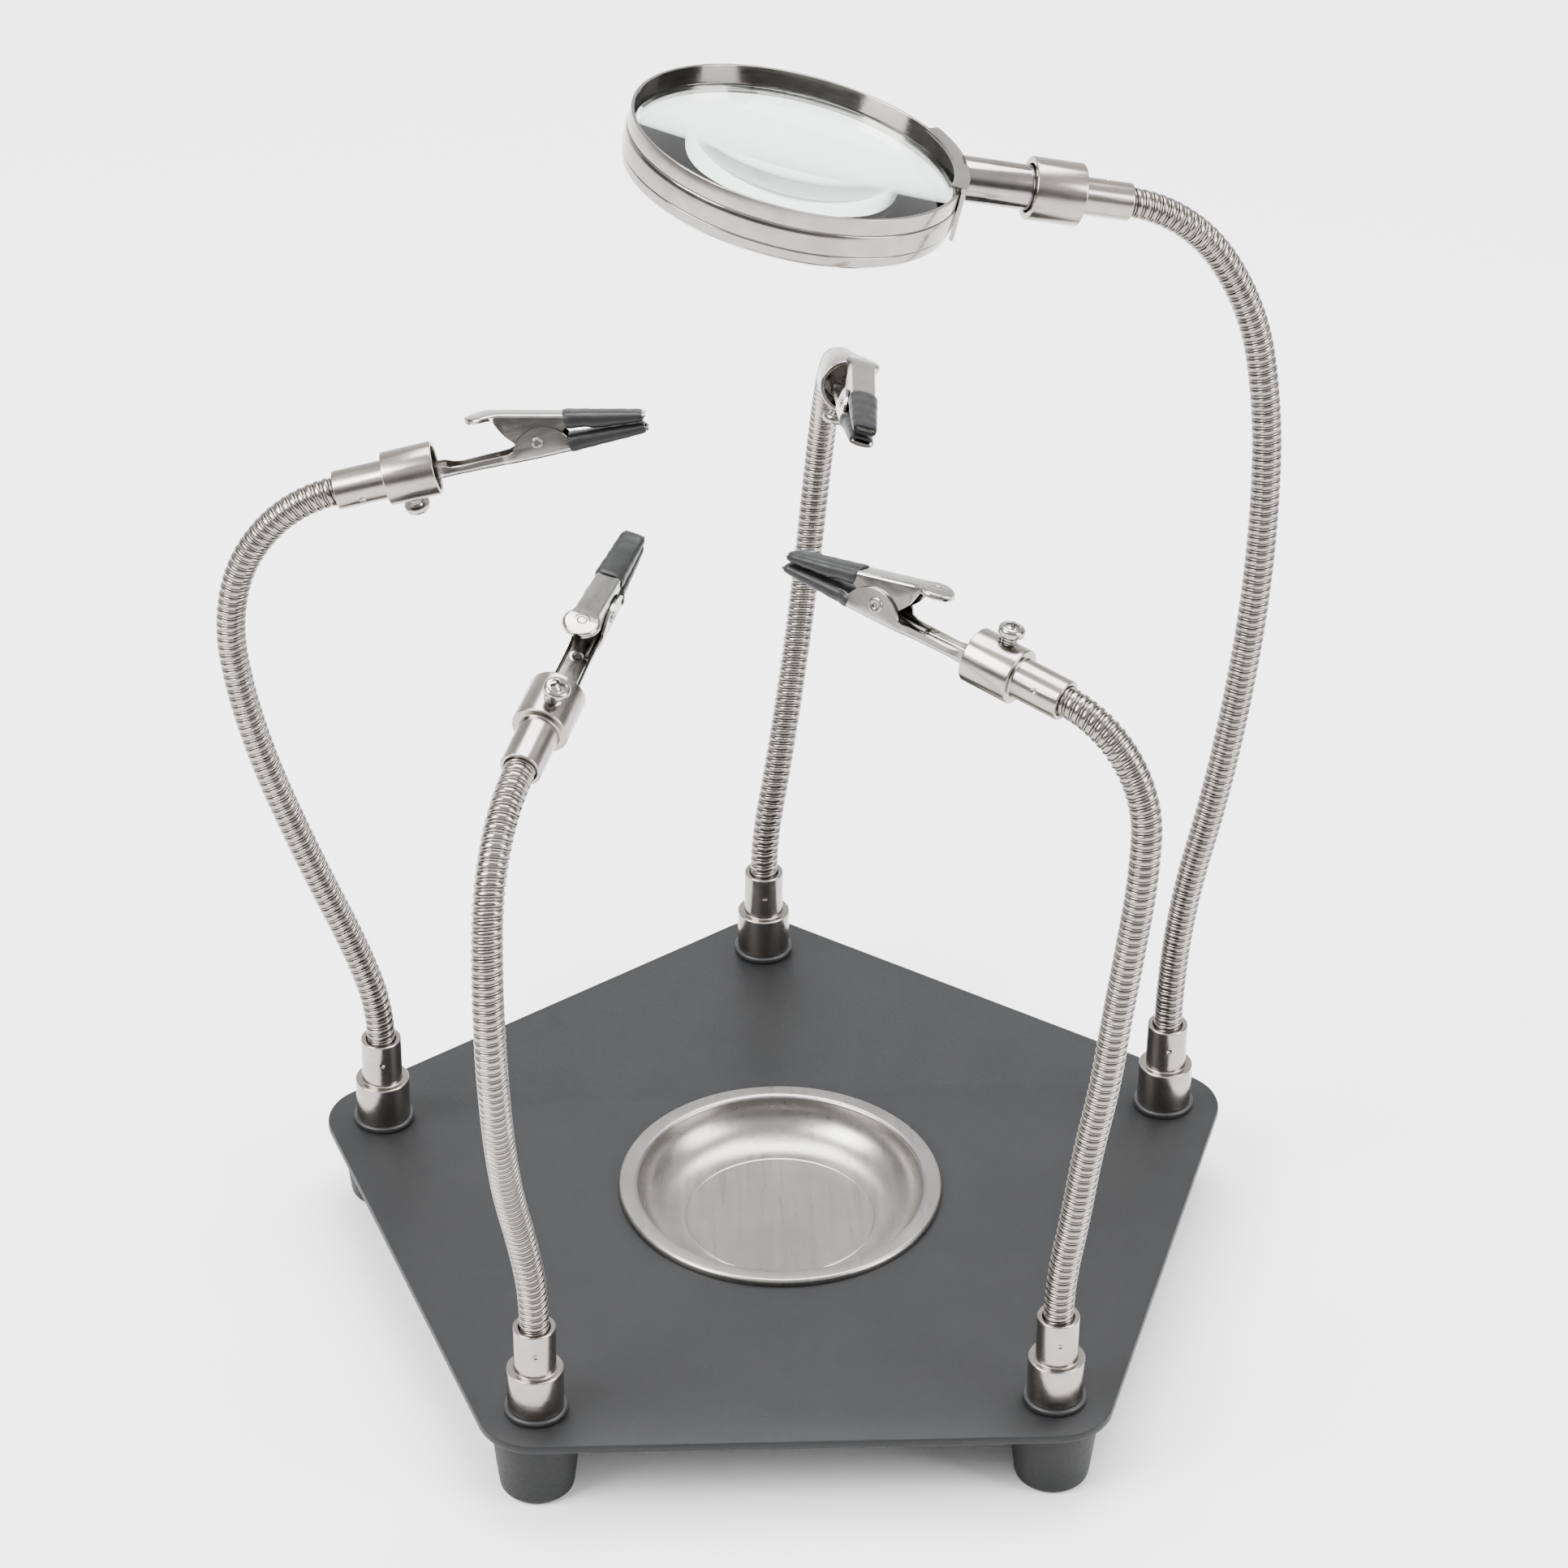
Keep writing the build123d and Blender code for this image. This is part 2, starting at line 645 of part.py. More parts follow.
def lens_ring():
    top = ring_above_handle
    bottom = top - ring_height
    r, w, bead = ring_radius, ring_wall, ring_bead
    seat = bottom + ring_ledge_height
    return turned_upright([
        (r - w, top), (r, top), (r, top - ring_band), (r - bead, top - ring_band - bead),
        (r, top - ring_band - 2 * bead), (r, bottom + 2.2), (r - bead, bottom + 2.0),
        (r - bead, bottom + 1.0), (r - w, bottom), (r - w - ring_ledge, bottom),
        (r - w - ring_ledge, seat), (r - w, seat),
    ])


def lens():
    """Glass with two round faces. Its flat edge stands on the ring's ledge."""
    radius = ring_radius - ring_wall - lens_clearance
    low_radius = radius - ring_ledge
    low = ring_above_handle - ring_height + ring_ledge_height + lens_clearance
    high = low + lens_edge
    profile = make_face([
        Line((0, low - lens_bulge), (0, high + lens_bulge)),
        RadiusArc((0, high + lens_bulge), (radius, high), face_curve(radius, lens_bulge)),
        Line((radius, high), (radius, low)),
        Line((radius, low), (low_radius, low)),
        RadiusArc((low_radius, low), (0, low - lens_bulge), face_curve(low_radius, lens_bulge)),
    ])
    return revolve(Plane.XZ * profile, Axis.Z)


def face_curve(radius, rise):
    """Radius of a cap of the given rise."""
    return (radius ** 2 + rise ** 2) / (2 * rise)


def yoke():
    """Curved plate on the ring's wall, with a flange over the ring's edge."""
    top = ring_above_handle
    inner = ring_radius
    outer = inner + yoke_thickness
    section = face_of([
        (inner, top), (inner - yoke_flange, top), (inner - yoke_flange, top + yoke_thickness),
        (outer, top + yoke_thickness), (outer, top - yoke_height), (inner, top - yoke_height),
    ])
    bent = revolve(Rot(0, 0, -yoke_half_angle) * section, Axis.Z, 2 * yoke_half_angle)
    return Rot(0, 0, 180) * bent


def handle_tube():
    reach = handle_visible + ring_radius
    tube = turned([
        (-handle_insert, handle_radius - handle_wall), (-handle_insert, handle_radius),
        (reach, handle_radius), (reach, handle_radius - handle_wall),
    ])
    outside_yoke = Pos(reach, 0, -50) * upright(ring_radius + yoke_thickness, 0, 100)
    return tube - outside_yoke


# ---------------------------------------------------------------- everything in its place
def clip_arm(name, arm):
    collar_frame = end_frame(arm, arm["screw_roll"])
    clip_frame = mouth_frame(arm, arm["clip_roll"])
    clamp_x = top_length - clamp_from_mouth
    tail_corner = sqrt(tail_half_width ** 2 + tail_floor ** 2)
    screw = Pos(clamp_x, 0, 0) * clamp_screw(top_thick_radius, tail_corner + clamp_tip_gap)
    collar = top_collar(top_small_radius, top_thick_radius, socket_radius, clamp_x)
    pieces = {
        name + "_top_collar": collar_frame * collar,
        name + "_clamp_screw": collar_frame * screw,
        name + "_lower_jaw": clip_frame * lower_jaw(),
        name + "_upper_jaw": clip_frame * upper_jaw(),
        name + "_lower_sleeve": clip_frame * lower_sleeve(),
        name + "_upper_sleeve": clip_frame * upper_sleeve(),
        name + "_jaw_rivet": clip_frame * jaw_rivet(),
        name + "_jaw_spring": clip_frame * jaw_spring(),
    }
    return pieces


def magnifier_arm(name, arm):
    collar_frame = end_frame(arm, arm["screw_roll"])
    handle_frame = mouth_frame(arm, arm["clip_roll"])
    ring_frame = handle_frame * ring_centre()
    clamp_x = top_length - magnifier_clamp_from_mouth
    bore = handle_radius + handle_gap
    screw = Pos(clamp_x, 0, 0) * clamp_screw(magnifier_thick_radius, handle_radius + clamp_tip_gap)
    collar = top_collar(magnifier_small_radius, magnifier_thick_radius, bore, clamp_x)
    return {
        name + "_top_collar": collar_frame * collar,
        name + "_clamp_screw": collar_frame * screw,
        name + "_handle_tube": handle_frame * handle_tube(),
        name + "_yoke": ring_frame * yoke(),
        name + "_lens_ring": ring_frame * lens_ring(),
        name + "_lens": ring_frame * lens(),
    }


parts = {
    "base_plate": base_plate(),
    "feet": at_corners(foot()),
    "foot_screws": at_corners(foot_screw()),
    "collar_gaskets": at_corners(gasket()),
    "base_collars": at_corners(base_collar()),
    "tray": tray(),
}
for arm_name, arm_plan in ARMS.items():
    for length_name, length in zip(("lower", "middle", "upper"), neck_lengths(arm_plan)):
        parts[arm_name + "_neck_" + length_name] = length
    builder = clip_arm if arm_plan["end"] == "clip" else magnifier_arm
    parts.update(builder(arm_name, arm_plan))

os.makedirs("parts", exist_ok=True)
for node, shape in parts.items():
    export_step(shape, os.path.join("parts", node + ".step"))
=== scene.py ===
from math import cos, pi, radians, sin, sqrt

import bpy
import numpy as np
from mathutils import Matrix, Vector
from mathutils.geometry import tessellate_polygon


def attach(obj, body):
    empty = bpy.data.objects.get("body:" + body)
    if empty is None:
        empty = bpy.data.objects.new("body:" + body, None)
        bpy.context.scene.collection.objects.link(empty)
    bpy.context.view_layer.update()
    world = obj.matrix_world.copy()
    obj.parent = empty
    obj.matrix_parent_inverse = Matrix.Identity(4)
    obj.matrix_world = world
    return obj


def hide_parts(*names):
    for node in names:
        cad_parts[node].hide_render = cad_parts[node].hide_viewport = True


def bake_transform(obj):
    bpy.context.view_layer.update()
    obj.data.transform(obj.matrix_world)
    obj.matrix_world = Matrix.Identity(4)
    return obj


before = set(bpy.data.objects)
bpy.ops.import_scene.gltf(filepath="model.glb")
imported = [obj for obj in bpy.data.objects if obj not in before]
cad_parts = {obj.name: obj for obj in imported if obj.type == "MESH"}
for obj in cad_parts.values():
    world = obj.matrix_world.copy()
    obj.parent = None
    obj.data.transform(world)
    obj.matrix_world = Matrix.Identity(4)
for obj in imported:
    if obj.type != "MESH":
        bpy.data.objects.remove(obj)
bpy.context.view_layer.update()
MM = 0.001
rng = np.random.default_rng(7)

# ------------------------------------------------------------------ sizes, in millimetres
CORNERS = 5
corner_circle = 85.0
corner_round = 11.5
plate_low, plate_top = 16.5, 18.5
tray_rim_radius = 32.9
tray_rim_width = 3.4
tray_clearance = 0.6
gasket_top = plate_top + 1.4
collar_step = gasket_top + 9.0
collar_top = collar_step + 9.9
clip_neck, magnifier_neck = 141.0, 200.0
collar_length = 20.0
clip_collar_radius, clip_collar_neck, clip_collar_bore = 5.3, 3.85, 4.4
glass_collar_radius, glass_collar_neck, glass_collar_bore = 6.0, 3.6, 4.65
clip_clamp_x = collar_length - 5.9
glass_clamp_x = collar_length - 4.5
clip_screw_tip, glass_screw_tip = 3.6, 4.45
pivot_x, pivot_z = 20.4, 0.9
jaw_tip = 41.6
sleeve_start, sleeve_end = 26.3, 41.0
handle_visible = 13.8
ring_radius = 31.6
ring_top, ring_bottom = 2.9, -7.5

DENT_ANGLES = (-88, 92)
dent_radius = 0.9
sleeve_wall = 0.42
sleeve_squareness = 2.9
sheet_wall = 0.5

ARMS = {
    "back": {
        "corner": 0, "facing": -94, "end": "clip", "clip_roll": -17, "screw_roll": 165,
        "lean": [-11, -19, -23, -21, -12, 3, 23, 48, 74],
        "swing": [9, 8, 7, 6, 5, 5, 5, 5, 5],
    },
    "left": {
        "corner": 1, "facing": -1, "end": "clip", "clip_roll": -16, "screw_roll": -172,
        "lean": [-17, -22, -21, -19, -14, -7, 13, 42, 76],
        "swing": [0, 1, 2, 2, 2, 1, 0, 1, 1],
    },
    "front_left": {
        "corner": 2, "facing": 73, "end": "clip", "clip_roll": 10, "screw_roll": 20,
        "lean": [-15, -24, -25, -20, -11, 3, 22, 48, 76],
        "swing": [3, 1, -3, -3, -1, 2, 5, 1, -4],
    },
    "front_right": {
        "corner": 3, "facing": 149, "end": "clip", "clip_roll": 15, "screw_roll": 10,
        "lean": [-8, -6, -9, -5, -6, -5, 2, 38, 82],
        "swing": [-2, -2, -3, -3, -3, -4, -6, -4, -7],
    },
    "magnifier": {
        "corner": 4, "facing": 181, "end": "magnifier", "clip_roll": 0, "screw_roll": 95,
        "lean": [-5, -11, -8, -6, -3, 1, 10, 35, 77],
        "swing": [2, 3, 2, 0, -3, -5, -6, -4, 6],
    },
}


# ------------------------------------------------------------------ materials
class Paint:
    """Builds one node material. Every constant is set on a socket."""

    def __init__(self, name):
        self.material = bpy.data.materials.new(name)
        self.material.use_nodes = True
        self.nodes = self.material.node_tree.nodes
        self.links = self.material.node_tree.links
        self.nodes.clear()
        self.output = self.nodes.new("ShaderNodeOutputMaterial")
        self.shader = self.nodes.new("ShaderNodeBsdfPrincipled")
        self.links.new(self.shader.outputs["BSDF"], self.output.inputs["Surface"])
        self.coords = self.nodes.new("ShaderNodeTexCoord")
        self.bumped = None

    def set(self, **values):
        for name, value in values.items():
            self.shader.inputs[name.replace("_", " ")].default_value = value
        return self

    def stretched(self, scale):
        mapping = self.nodes.new("ShaderNodeMapping")
        mapping.inputs["Scale"].default_value = scale
        self.links.new(self.coords.outputs["Object"], mapping.inputs["Vector"])
        return mapping.outputs["Vector"]

    def noise(self, scale, stretch=(1, 1, 1), detail=4.0, rough=0.55):
        node = self.nodes.new("ShaderNodeTexNoise")
        node.inputs["Scale"].default_value = scale
        node.inputs["Detail"].default_value = detail
        node.inputs["Roughness"].default_value = rough
        self.links.new(self.stretched(stretch), node.inputs["Vector"])
        return node.outputs["Fac"]

    def between(self, factor, low, high, start=0.3, end=0.7):
        ramp = self.nodes.new("ShaderNodeMapRange")
        ramp.inputs["From Min"].default_value = start
        ramp.inputs["From Max"].default_value = end
        ramp.inputs["To Min"].default_value = low
        ramp.inputs["To Max"].default_value = high
        self.links.new(factor, ramp.inputs["Value"])
        return ramp.outputs["Result"]

    def colour(self, factor, low, high, start=0.3, end=0.7):
        mix = self.nodes.new("ShaderNodeMix")
        mix.data_type = "RGBA"
        mix.inputs["A"].default_value = (*low, 1)
        mix.inputs["B"].default_value = (*high, 1)
        self.links.new(self.between(factor, 0, 1, start, end), mix.inputs["Factor"])
        self.links.new(mix.outputs["Result"], self.shader.inputs["Base Color"])
        return self

    def rough(self, factor, low, high):
        self.links.new(self.between(factor, low, high), self.shader.inputs["Roughness"])
        return self

    def bump(self, height, strength, distance):
        node = self.nodes.new("ShaderNodeBump")
        node.inputs["Strength"].default_value = strength
        node.inputs["Distance"].default_value = distance
        self.links.new(height, node.inputs["Height"])
        if self.bumped:
            self.links.new(self.bumped, node.inputs["Normal"])
        self.bumped = node.outputs["Normal"]
        self.links.new(self.bumped, self.shader.inputs["Normal"])
        return self

    def reach(self, centre, axes=(1, 1, 0)):
        """Distance from a point, in millimetres, along the given axes only."""
        move = self.nodes.new("ShaderNodeVectorMath")
        move.operation = "SUBTRACT"
        move.inputs[1].default_value = [c * MM for c in centre]
        self.links.new(self.coords.outputs["Object"], move.inputs[0])
        flat = self.nodes.new("ShaderNodeVectorMath")
        flat.operation = "MULTIPLY"
        flat.inputs[1].default_value = [a / MM for a in axes]
        self.links.new(move.outputs["Vector"], flat.inputs[0])
        length = self.nodes.new("ShaderNodeVectorMath")
        length.operation = "LENGTH"
        self.links.new(flat.outputs["Vector"], length.inputs[0])
        return length.outputs["Value"]


def metal(name, low, high, rough, grain, stretch, depth=0.00002):
    paint = Paint(name).set(Metallic=1.0)
    fine = paint.noise(grain, stretch, 5.0)
    paint.colour(paint.noise(180, (1, 1, 1)), low, high)
    paint.rough(fine, *rough)
    paint.bump(fine, 0.25, depth)
    return paint


def plate_paint():
    paint = Paint("powder_coat").set(Metallic=0.0, Specular_IOR_Level=0.22)
    fine = paint.noise(2600, (1, 1, 1), 3.0, 0.6)
    paint.colour(paint.noise(60), (0.0085, 0.0088, 0.0096), (0.0105, 0.0108, 0.0116))
    paint.rough(fine, 0.46, 0.56)
    paint.bump(fine, 0.35, 0.00006)
    return paint.material


def foot_paint():
    paint = Paint("foot_rubber").set(Metallic=0.0, Specular_IOR_Level=0.22)
    fine = paint.noise(1500, (1, 1, 1), 4.0)
    paint.colour(paint.noise(90), (0.0085, 0.0088, 0.0095), (0.0110, 0.0113, 0.0120))
    paint.rough(fine, 0.5, 0.62)
    paint.bump(fine, 0.3, 0.00005)
    return paint.material


def gasket_paint():
    paint = Paint("gasket_rubber").set(Metallic=0.0)
    fine = paint.noise(1200)
    paint.colour(fine, (0.010, 0.010, 0.0105), (0.014, 0.014, 0.015))
    paint.rough(fine, 0.42, 0.55)
    paint.bump(fine, 0.25, 0.00004)
    return paint.material


def sleeve_paint():
    paint = Paint("shrink_tube").set(Metallic=0.0, Specular_IOR_Level=0.3)
    fine = paint.noise(700, (0.5, 1, 1), 4.0)
    paint.colour(paint.noise(200), (0.0055, 0.0055, 0.0060), (0.0085, 0.0085, 0.0092))
    paint.rough(fine, 0.36, 0.5)
    paint.bump(fine, 0.35, 0.00007)
    paint.bump(paint.noise(140, (1, 0.4, 0.4)), 0.4, 0.0003)
    return paint.material


def glass_paint():
    paint = Paint("lens_glass").set(Metallic=0.0, IOR=1.5)
    paint.set(Transmission_Weight=1.0)
    paint.colour(paint.noise(40), (0.90, 0.97, 0.955), (0.93, 0.985, 0.97))
    paint.rough(paint.noise(300), 0.0, 0.012)
    return paint.material


NICKEL_LOW, NICKEL_HIGH = (0.255, 0.236, 0.214), (0.315, 0.294, 0.270)
nickel = metal("nickel_plate", NICKEL_LOW, NICKEL_HIGH, (0.16, 0.27), 600, (0.25, 3, 3)).material
neck_metal = metal(
    "neck_wire", (0.205, 0.190, 0.172), (0.265, 0.248, 0.228), (0.15, 0.26), 1500, (1, 1, 1)).material
clip_paint = metal(
    "clip_sheet", (0.285, 0.272, 0.255), (0.365, 0.350, 0.332), (0.13, 0.24), 700, (0.35, 2, 2))
dimple = clip_paint.reach((11.1, 0, 0))
clip_paint.bump(clip_paint.between(dimple, 0, 1, 0.7, 1.0), 0.8, 0.00018)
clip_paint.bump(clip_paint.between(dimple, 1, 0, 1.25, 1.6), 0.5, 0.00008)
clip_metal = clip_paint.material
screw_metal = metal(
    "zinc_screw", (0.29, 0.28, 0.265), (0.37, 0.36, 0.345), (0.13, 0.24), 900, (1, 1, 1)).material
spring_metal = metal(
    "spring_wire", (0.20, 0.192, 0.182), (0.26, 0.252, 0.242), (0.25, 0.36), 1200, (1, 1, 1)).material
ring_paint = metal(
    "polished_band", (0.235, 0.220, 0.206), (0.300, 0.284, 0.270), (0.10, 0.18), 500, (0.6, 0.6, 3))
ring_metal = ring_paint.material


def tray_paint():
    paint = Paint("brushed_steel").set(Metallic=1.0)
    wave = paint.nodes.new("ShaderNodeTexWave")
    wave.wave_type = "RINGS"
    wave.rings_direction = "Z"
    wave.inputs["Scale"].default_value = 900
    wave.inputs["Distortion"].default_value = 2.0
    wave.inputs["Detail"].default_value = 3.0
    wave.inputs["Detail Scale"].default_value = 3.0
    paint.links.new(paint.coords.outputs["Object"], wave.inputs["Vector"])
    streak = paint.noise(700, (1, 0.05, 1), 4.0)
    paint.colour(paint.noise(70), (0.250, 0.240, 0.228), (0.310, 0.299, 0.287))
    paint.rough(streak, 0.26, 0.33)
    paint.bump(wave.outputs["Fac"], 0.05, 0.00001)
    paint.bump(streak, 0.06, 0.00001)
    return paint.material


# ------------------------------------------------------------------ mesh helpers
def solid(name, points, faces, material, sharp=35.0):
    """A mesh from points in millimetres."""
    mesh = bpy.data.meshes.new(name)
    mesh.from_pydata([tuple(p) for p in np.asarray(points, float) * MM], [], faces)
    mesh.validate()
    mesh.update()
    mesh.shade_smooth()
    mesh.set_sharp_from_angle(angle=radians(sharp))
    mesh.materials.append(material)
    obj = bpy.data.objects.new(name, mesh)
    bpy.context.scene.collection.objects.link(obj)
    return obj


def rounded(points, radius, steps=4, closed=True):
    """A polyline with its corners rounded."""
    points = [np.array(p, float) for p in points]
    count = len(points)
    out = []
    for i, p in enumerate(points):
        if not closed and i in (0, count - 1):
            out.append(p)
            continue
        before, after = points[i - 1] - p, points[(i + 1) % count] - p
        cut = min(radius, 0.45 * np.linalg.norm(before), 0.45 * np.linalg.norm(after))
        start = p + before / np.linalg.norm(before) * cut
        end = p + after / np.linalg.norm(after) * cut
        for k in range(steps + 1):
            t = k / steps
            out.append((1 - t) ** 2 * start + 2 * t * (1 - t) * p + t * t * end)
    return out


def lathe(profile, segments=72, axis="z", start=0.0, sweep=2 * pi, closed=True):
    """Points and faces from turning (radius, height) points, a full turn or a sector."""
    full = abs(sweep - 2 * pi) < 1e-6
    rows = segments if full else segments + 1
    count = len(profile)
    points = []
    for i in range(rows):
        a = start + sweep * i / segments
        points += [(r * cos(a), r * sin(a), h) for r, h in profile]
    points = np.array(points)
    if axis == "x":
        points = points[:, [2, 0, 1]]
    faces = []
    last = count if closed else count - 1
    for i in range(segments):
        here, there = i * count, ((i + 1) % rows) * count
        for k in range(last):
            n = (k + 1) % count
            faces.append((here + k, there + k, there + n, here + n))
    if not full:
        faces.append(tuple(range(count))[::-1])
        faces.append(tuple((rows - 1) * count + k for k in range(count)))
    return points, faces


def merged(*parts):
    """Several (points, faces) pairs as one."""
    points, faces, base = [], [], 0
    for some_points, some_faces in parts:
        points.append(np.asarray(some_points, float))
        faces += [tuple(base + i for i in face) for face in some_faces]
        base += len(some_points)
    return np.vstack(points), faces


def moved(part, matrix):
    points, faces = part
    m = np.array(matrix)
    return np.asarray(points) @ m[:3, :3].T + m[:3, 3], faces


def corner_matrix(index):
    angle = pi / 2 + index * 2 * pi / CORNERS
    turn = Matrix.Rotation(angle, 4, "Z")
    return Matrix.Translation((corner_circle * cos(angle), corner_circle * sin(angle), 0)) @ turn


def at_corners(part):
    return merged(*[moved(part, corner_matrix(i)) for i in range(CORNERS)])


def cut_out(obj, cutter):
    """Cuts one mesh with another, and keeps the result as plain mesh."""
    modifier = obj.modifiers.new("cut", "BOOLEAN")
    modifier.operation = "DIFFERENCE"
    modifier.solver = "EXACT"
    modifier.object = cutter
    graph = bpy.context.evaluated_depsgraph_get()
    mesh = bpy.data.meshes.new_from_object(obj.evaluated_get(graph))
    obj.modifiers.clear()
    obj.data = mesh
    bpy.data.objects.remove(cutter)
    mesh.shade_smooth()
    mesh.set_sharp_from_angle(angle=radians(35))


def placed(name, part, material, matrix, body, slot, *nodes, sharp=35.0):
    """A piece set down by a matrix in millimetres, riding on a body."""
    obj = part if isinstance(part, bpy.types.Object) else solid(name, *part, material, sharp)
    obj.name = name
    place = Matrix(matrix)
    place.translation = place.translation * MM
    obj.matrix_world = place
    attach(obj, body)
    if nodes:
        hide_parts(*nodes)
    return obj


def twin(obj):
    """Another object with the same mesh."""
    copy = bpy.data.objects.new(obj.name, obj.data)
    bpy.context.scene.collection.objects.link(copy)
    return copy


IDENTITY = Matrix.Identity(4)


# ------------------------------------------------------------------ the route of a neck
class Route:
    """A neck's axis, with a frame that doesn't twist. Runs on straight past both ends."""

    def __init__(self, arm):
        facing = radians(arm["facing"])
        ahead = np.array([cos(facing), sin(facing), 0])
        left = np.array([-sin(facing), cos(facing), 0])
        up = np.array([0.0, 0, 1])
        self.length = clip_neck if arm["end"] == "clip" else magnifier_neck
        self.step = self.length / len(arm["lean"])
        root = corner_matrix(arm["corner"]).translation
        point = np.array([root.x, root.y, collar_top])
        tangent, side = up, left
        self.arcs = []
        for lean, swing in zip(arm["lean"], arm["swing"]):
            lean, swing = radians(lean), radians(swing)
            after = cos(swing) * (cos(lean) * up + sin(lean) * ahead) + sin(swing) * left
            cross = np.cross(tangent, after)
            turn = float(np.arctan2(np.linalg.norm(cross), tangent @ after))
            axis = cross / np.linalg.norm(cross) if turn > radians(0.5) else side
            if turn <= radians(0.5):
                turn, after = 0.0, tangent
            self.arcs.append((point, tangent, side, axis, turn))
            point = point + self.chord(tangent, axis, turn, self.step)
            side = self.turned(side, axis, turn)
            tangent = self.turned(tangent, axis, turn)
        self.end = (point, tangent, side)

    def chord(self, tangent, axis, turn, length):
        if turn == 0.0:
            return tangent * length
        radius = self.step / turn
        angle = length / radius
        return radius * (sin(angle) * tangent + (1 - cos(angle)) * np.cross(axis, tangent))

    @staticmethod
    def turned(vector, axis, angle):
        c, s = cos(angle), sin(angle)
        return vector * c + np.cross(axis, vector) * s + axis * (axis @ vector) * (1 - c)

    def at(self, s):
        """Point, tangent and side direction at a distance along the neck."""
        if s <= 0:
            point, tangent, side = self.arcs[0][:3]
            return point + tangent * s, tangent, side
        if s >= self.length:
            point, tangent, side = self.end
            return point + tangent * (s - self.length), tangent, side
        index = min(int(s / self.step), len(self.arcs) - 1)
        point, tangent, side, axis, turn = self.arcs[index]
        along = s - index * self.step
        part = turn * along / self.step
        place = point + self.chord(tangent, axis, turn, along)
        return place, self.turned(tangent, axis, part), self.turned(side, axis, part)


# One turn of the winding: a wide, nearly flat band and a narrow round one, with dark gaps.
WINDING = [
    (0.00, 2.50), (0.03, 2.72), (0.07, 2.84), (0.16, 2.895), (0.33, 2.915), (0.50, 2.89),
    (0.58, 2.82), (0.615, 2.68), (0.64, 2.46), (0.67, 2.46), (0.70, 2.66), (0.76, 2.78),
    (0.82, 2.815), (0.88, 2.78), (0.94, 2.66), (0.97, 2.48),
]
THREAD = [(0.0, 1.2), (0.18, 1.22), (0.42, 1.46), (0.58, 1.46), (0.82, 1.22)]


def wound(at, start, end, pitch, profile, around=28, tucked=0):
    """A spiral surface round a route: rings that climb by one pitch in each turn.

    The last turns counted by tucked are drawn in a little, to pass under the next piece.
    """
    turns = int(round((end - start) / pitch))
    levels = []
    for turn in range(turns):
        drawn_in = 0.06 if turn >= turns - tucked else 0.0
        levels += [(start + (turn + share) * pitch, r - drawn_in) for share, r in profile]
    points = []
    for level, radius in levels:
        for j in range(around):
            place, tangent, side = at(level + pitch * j / around)
            across = np.cross(tangent, side)
            a = 2 * pi * j / around
            points.append(place + radius * (cos(a) * side + sin(a) * across))
    faces = []
    rows = len(levels)
    for i in range(rows - 1):
        for j in range(around):
            k = (j + 1) % around
            rise = len(profile) if k == 0 else 0
            if i + rise + 1 < rows:
                faces.append((
                    i * around + j, (i + rise) * around + k,
                    (i + rise + 1) * around + k, (i + 1) * around + j))
    return points, faces


def straight(s):
    return np.array([0.0, 0, s]), np.array([0.0, 0, 1]), np.array([1.0, 0, 0])


# ------------------------------------------------------------------ base
def plate_part():
    outline = []
    for i in range(CORNERS):
        centre = corner_matrix(i).translation
        middle = pi / 2 + i * 2 * pi / CORNERS
        for k in range(17):
            a = middle + (k / 16 - 0.5) * 2 * pi / CORNERS
            outline.append((centre.x, centre.y, a))
    hole = tray_rim_radius - tray_rim_width + tray_clearance

    def rim(inset, z):
        return [(x + (corner_round - inset) * cos(a), y + (corner_round - inset) * sin(a), z)
                for x, y, a in outline]

    def bore(extra, z):
        steps = 96
        return [((hole + extra) * cos(2 * pi * k / steps), (hole + extra) * sin(2 * pi * k / steps), z)
                for k in range(steps)]

    e = 0.45
    outer = [rim(e, plate_low), rim(e * 0.3, plate_low + e * 0.3), rim(0, plate_low + e),
             rim(0, plate_top - e), rim(e * 0.3, plate_top - e * 0.3), rim(e, plate_top)]
    inner = [bore(0, plate_low), bore(0, plate_top)]
    points, faces = [], []
    for loops in (outer, inner):
        for i, loop in enumerate(loops):
            if i:
                low, high = len(points) - len(loop), len(points)
                count = len(loop)
                for k in range(count):
                    n = (k + 1) % count
                    face = (low + k, low + n, high + n, high + k)
                    faces.append(face if loops is outer else face[::-1])
            points += loop
    n_out, n_in = len(outline), 96
    inner_start = len(outer) * n_out
    for top in (False, True):
        out_start = (len(outer) - 1) * n_out if top else 0
        in_start = inner_start + (n_in if top else 0)
        loops = [[Vector(points[out_start + k]) for k in range(n_out)],
                 [Vector(points[in_start + k]) for k in range(n_in)]]
        index = [out_start + k for k in range(n_out)] + [in_start + k for k in range(n_in)]
        for a, b, c in tessellate_polygon(loops):
            pa, pb, pc = (Vector(points[index[k]]) for k in (a, b, c))
            up = (pb - pa).cross(pc - pa).z > 0
            faces.append((index[a], index[b], index[c]) if up == top else (index[a], index[c], index[b]))
    return points, faces


def foot_part():
    return lathe(rounded([
        (3.95, 0), (6.3, 0), (7.2, 0.9), (7.55, 3.5), (9.0, 16.45), (2.3, 16.45), (2.3, 6.0),
        (3.95, 6.0),
    ], 0.5), 64)


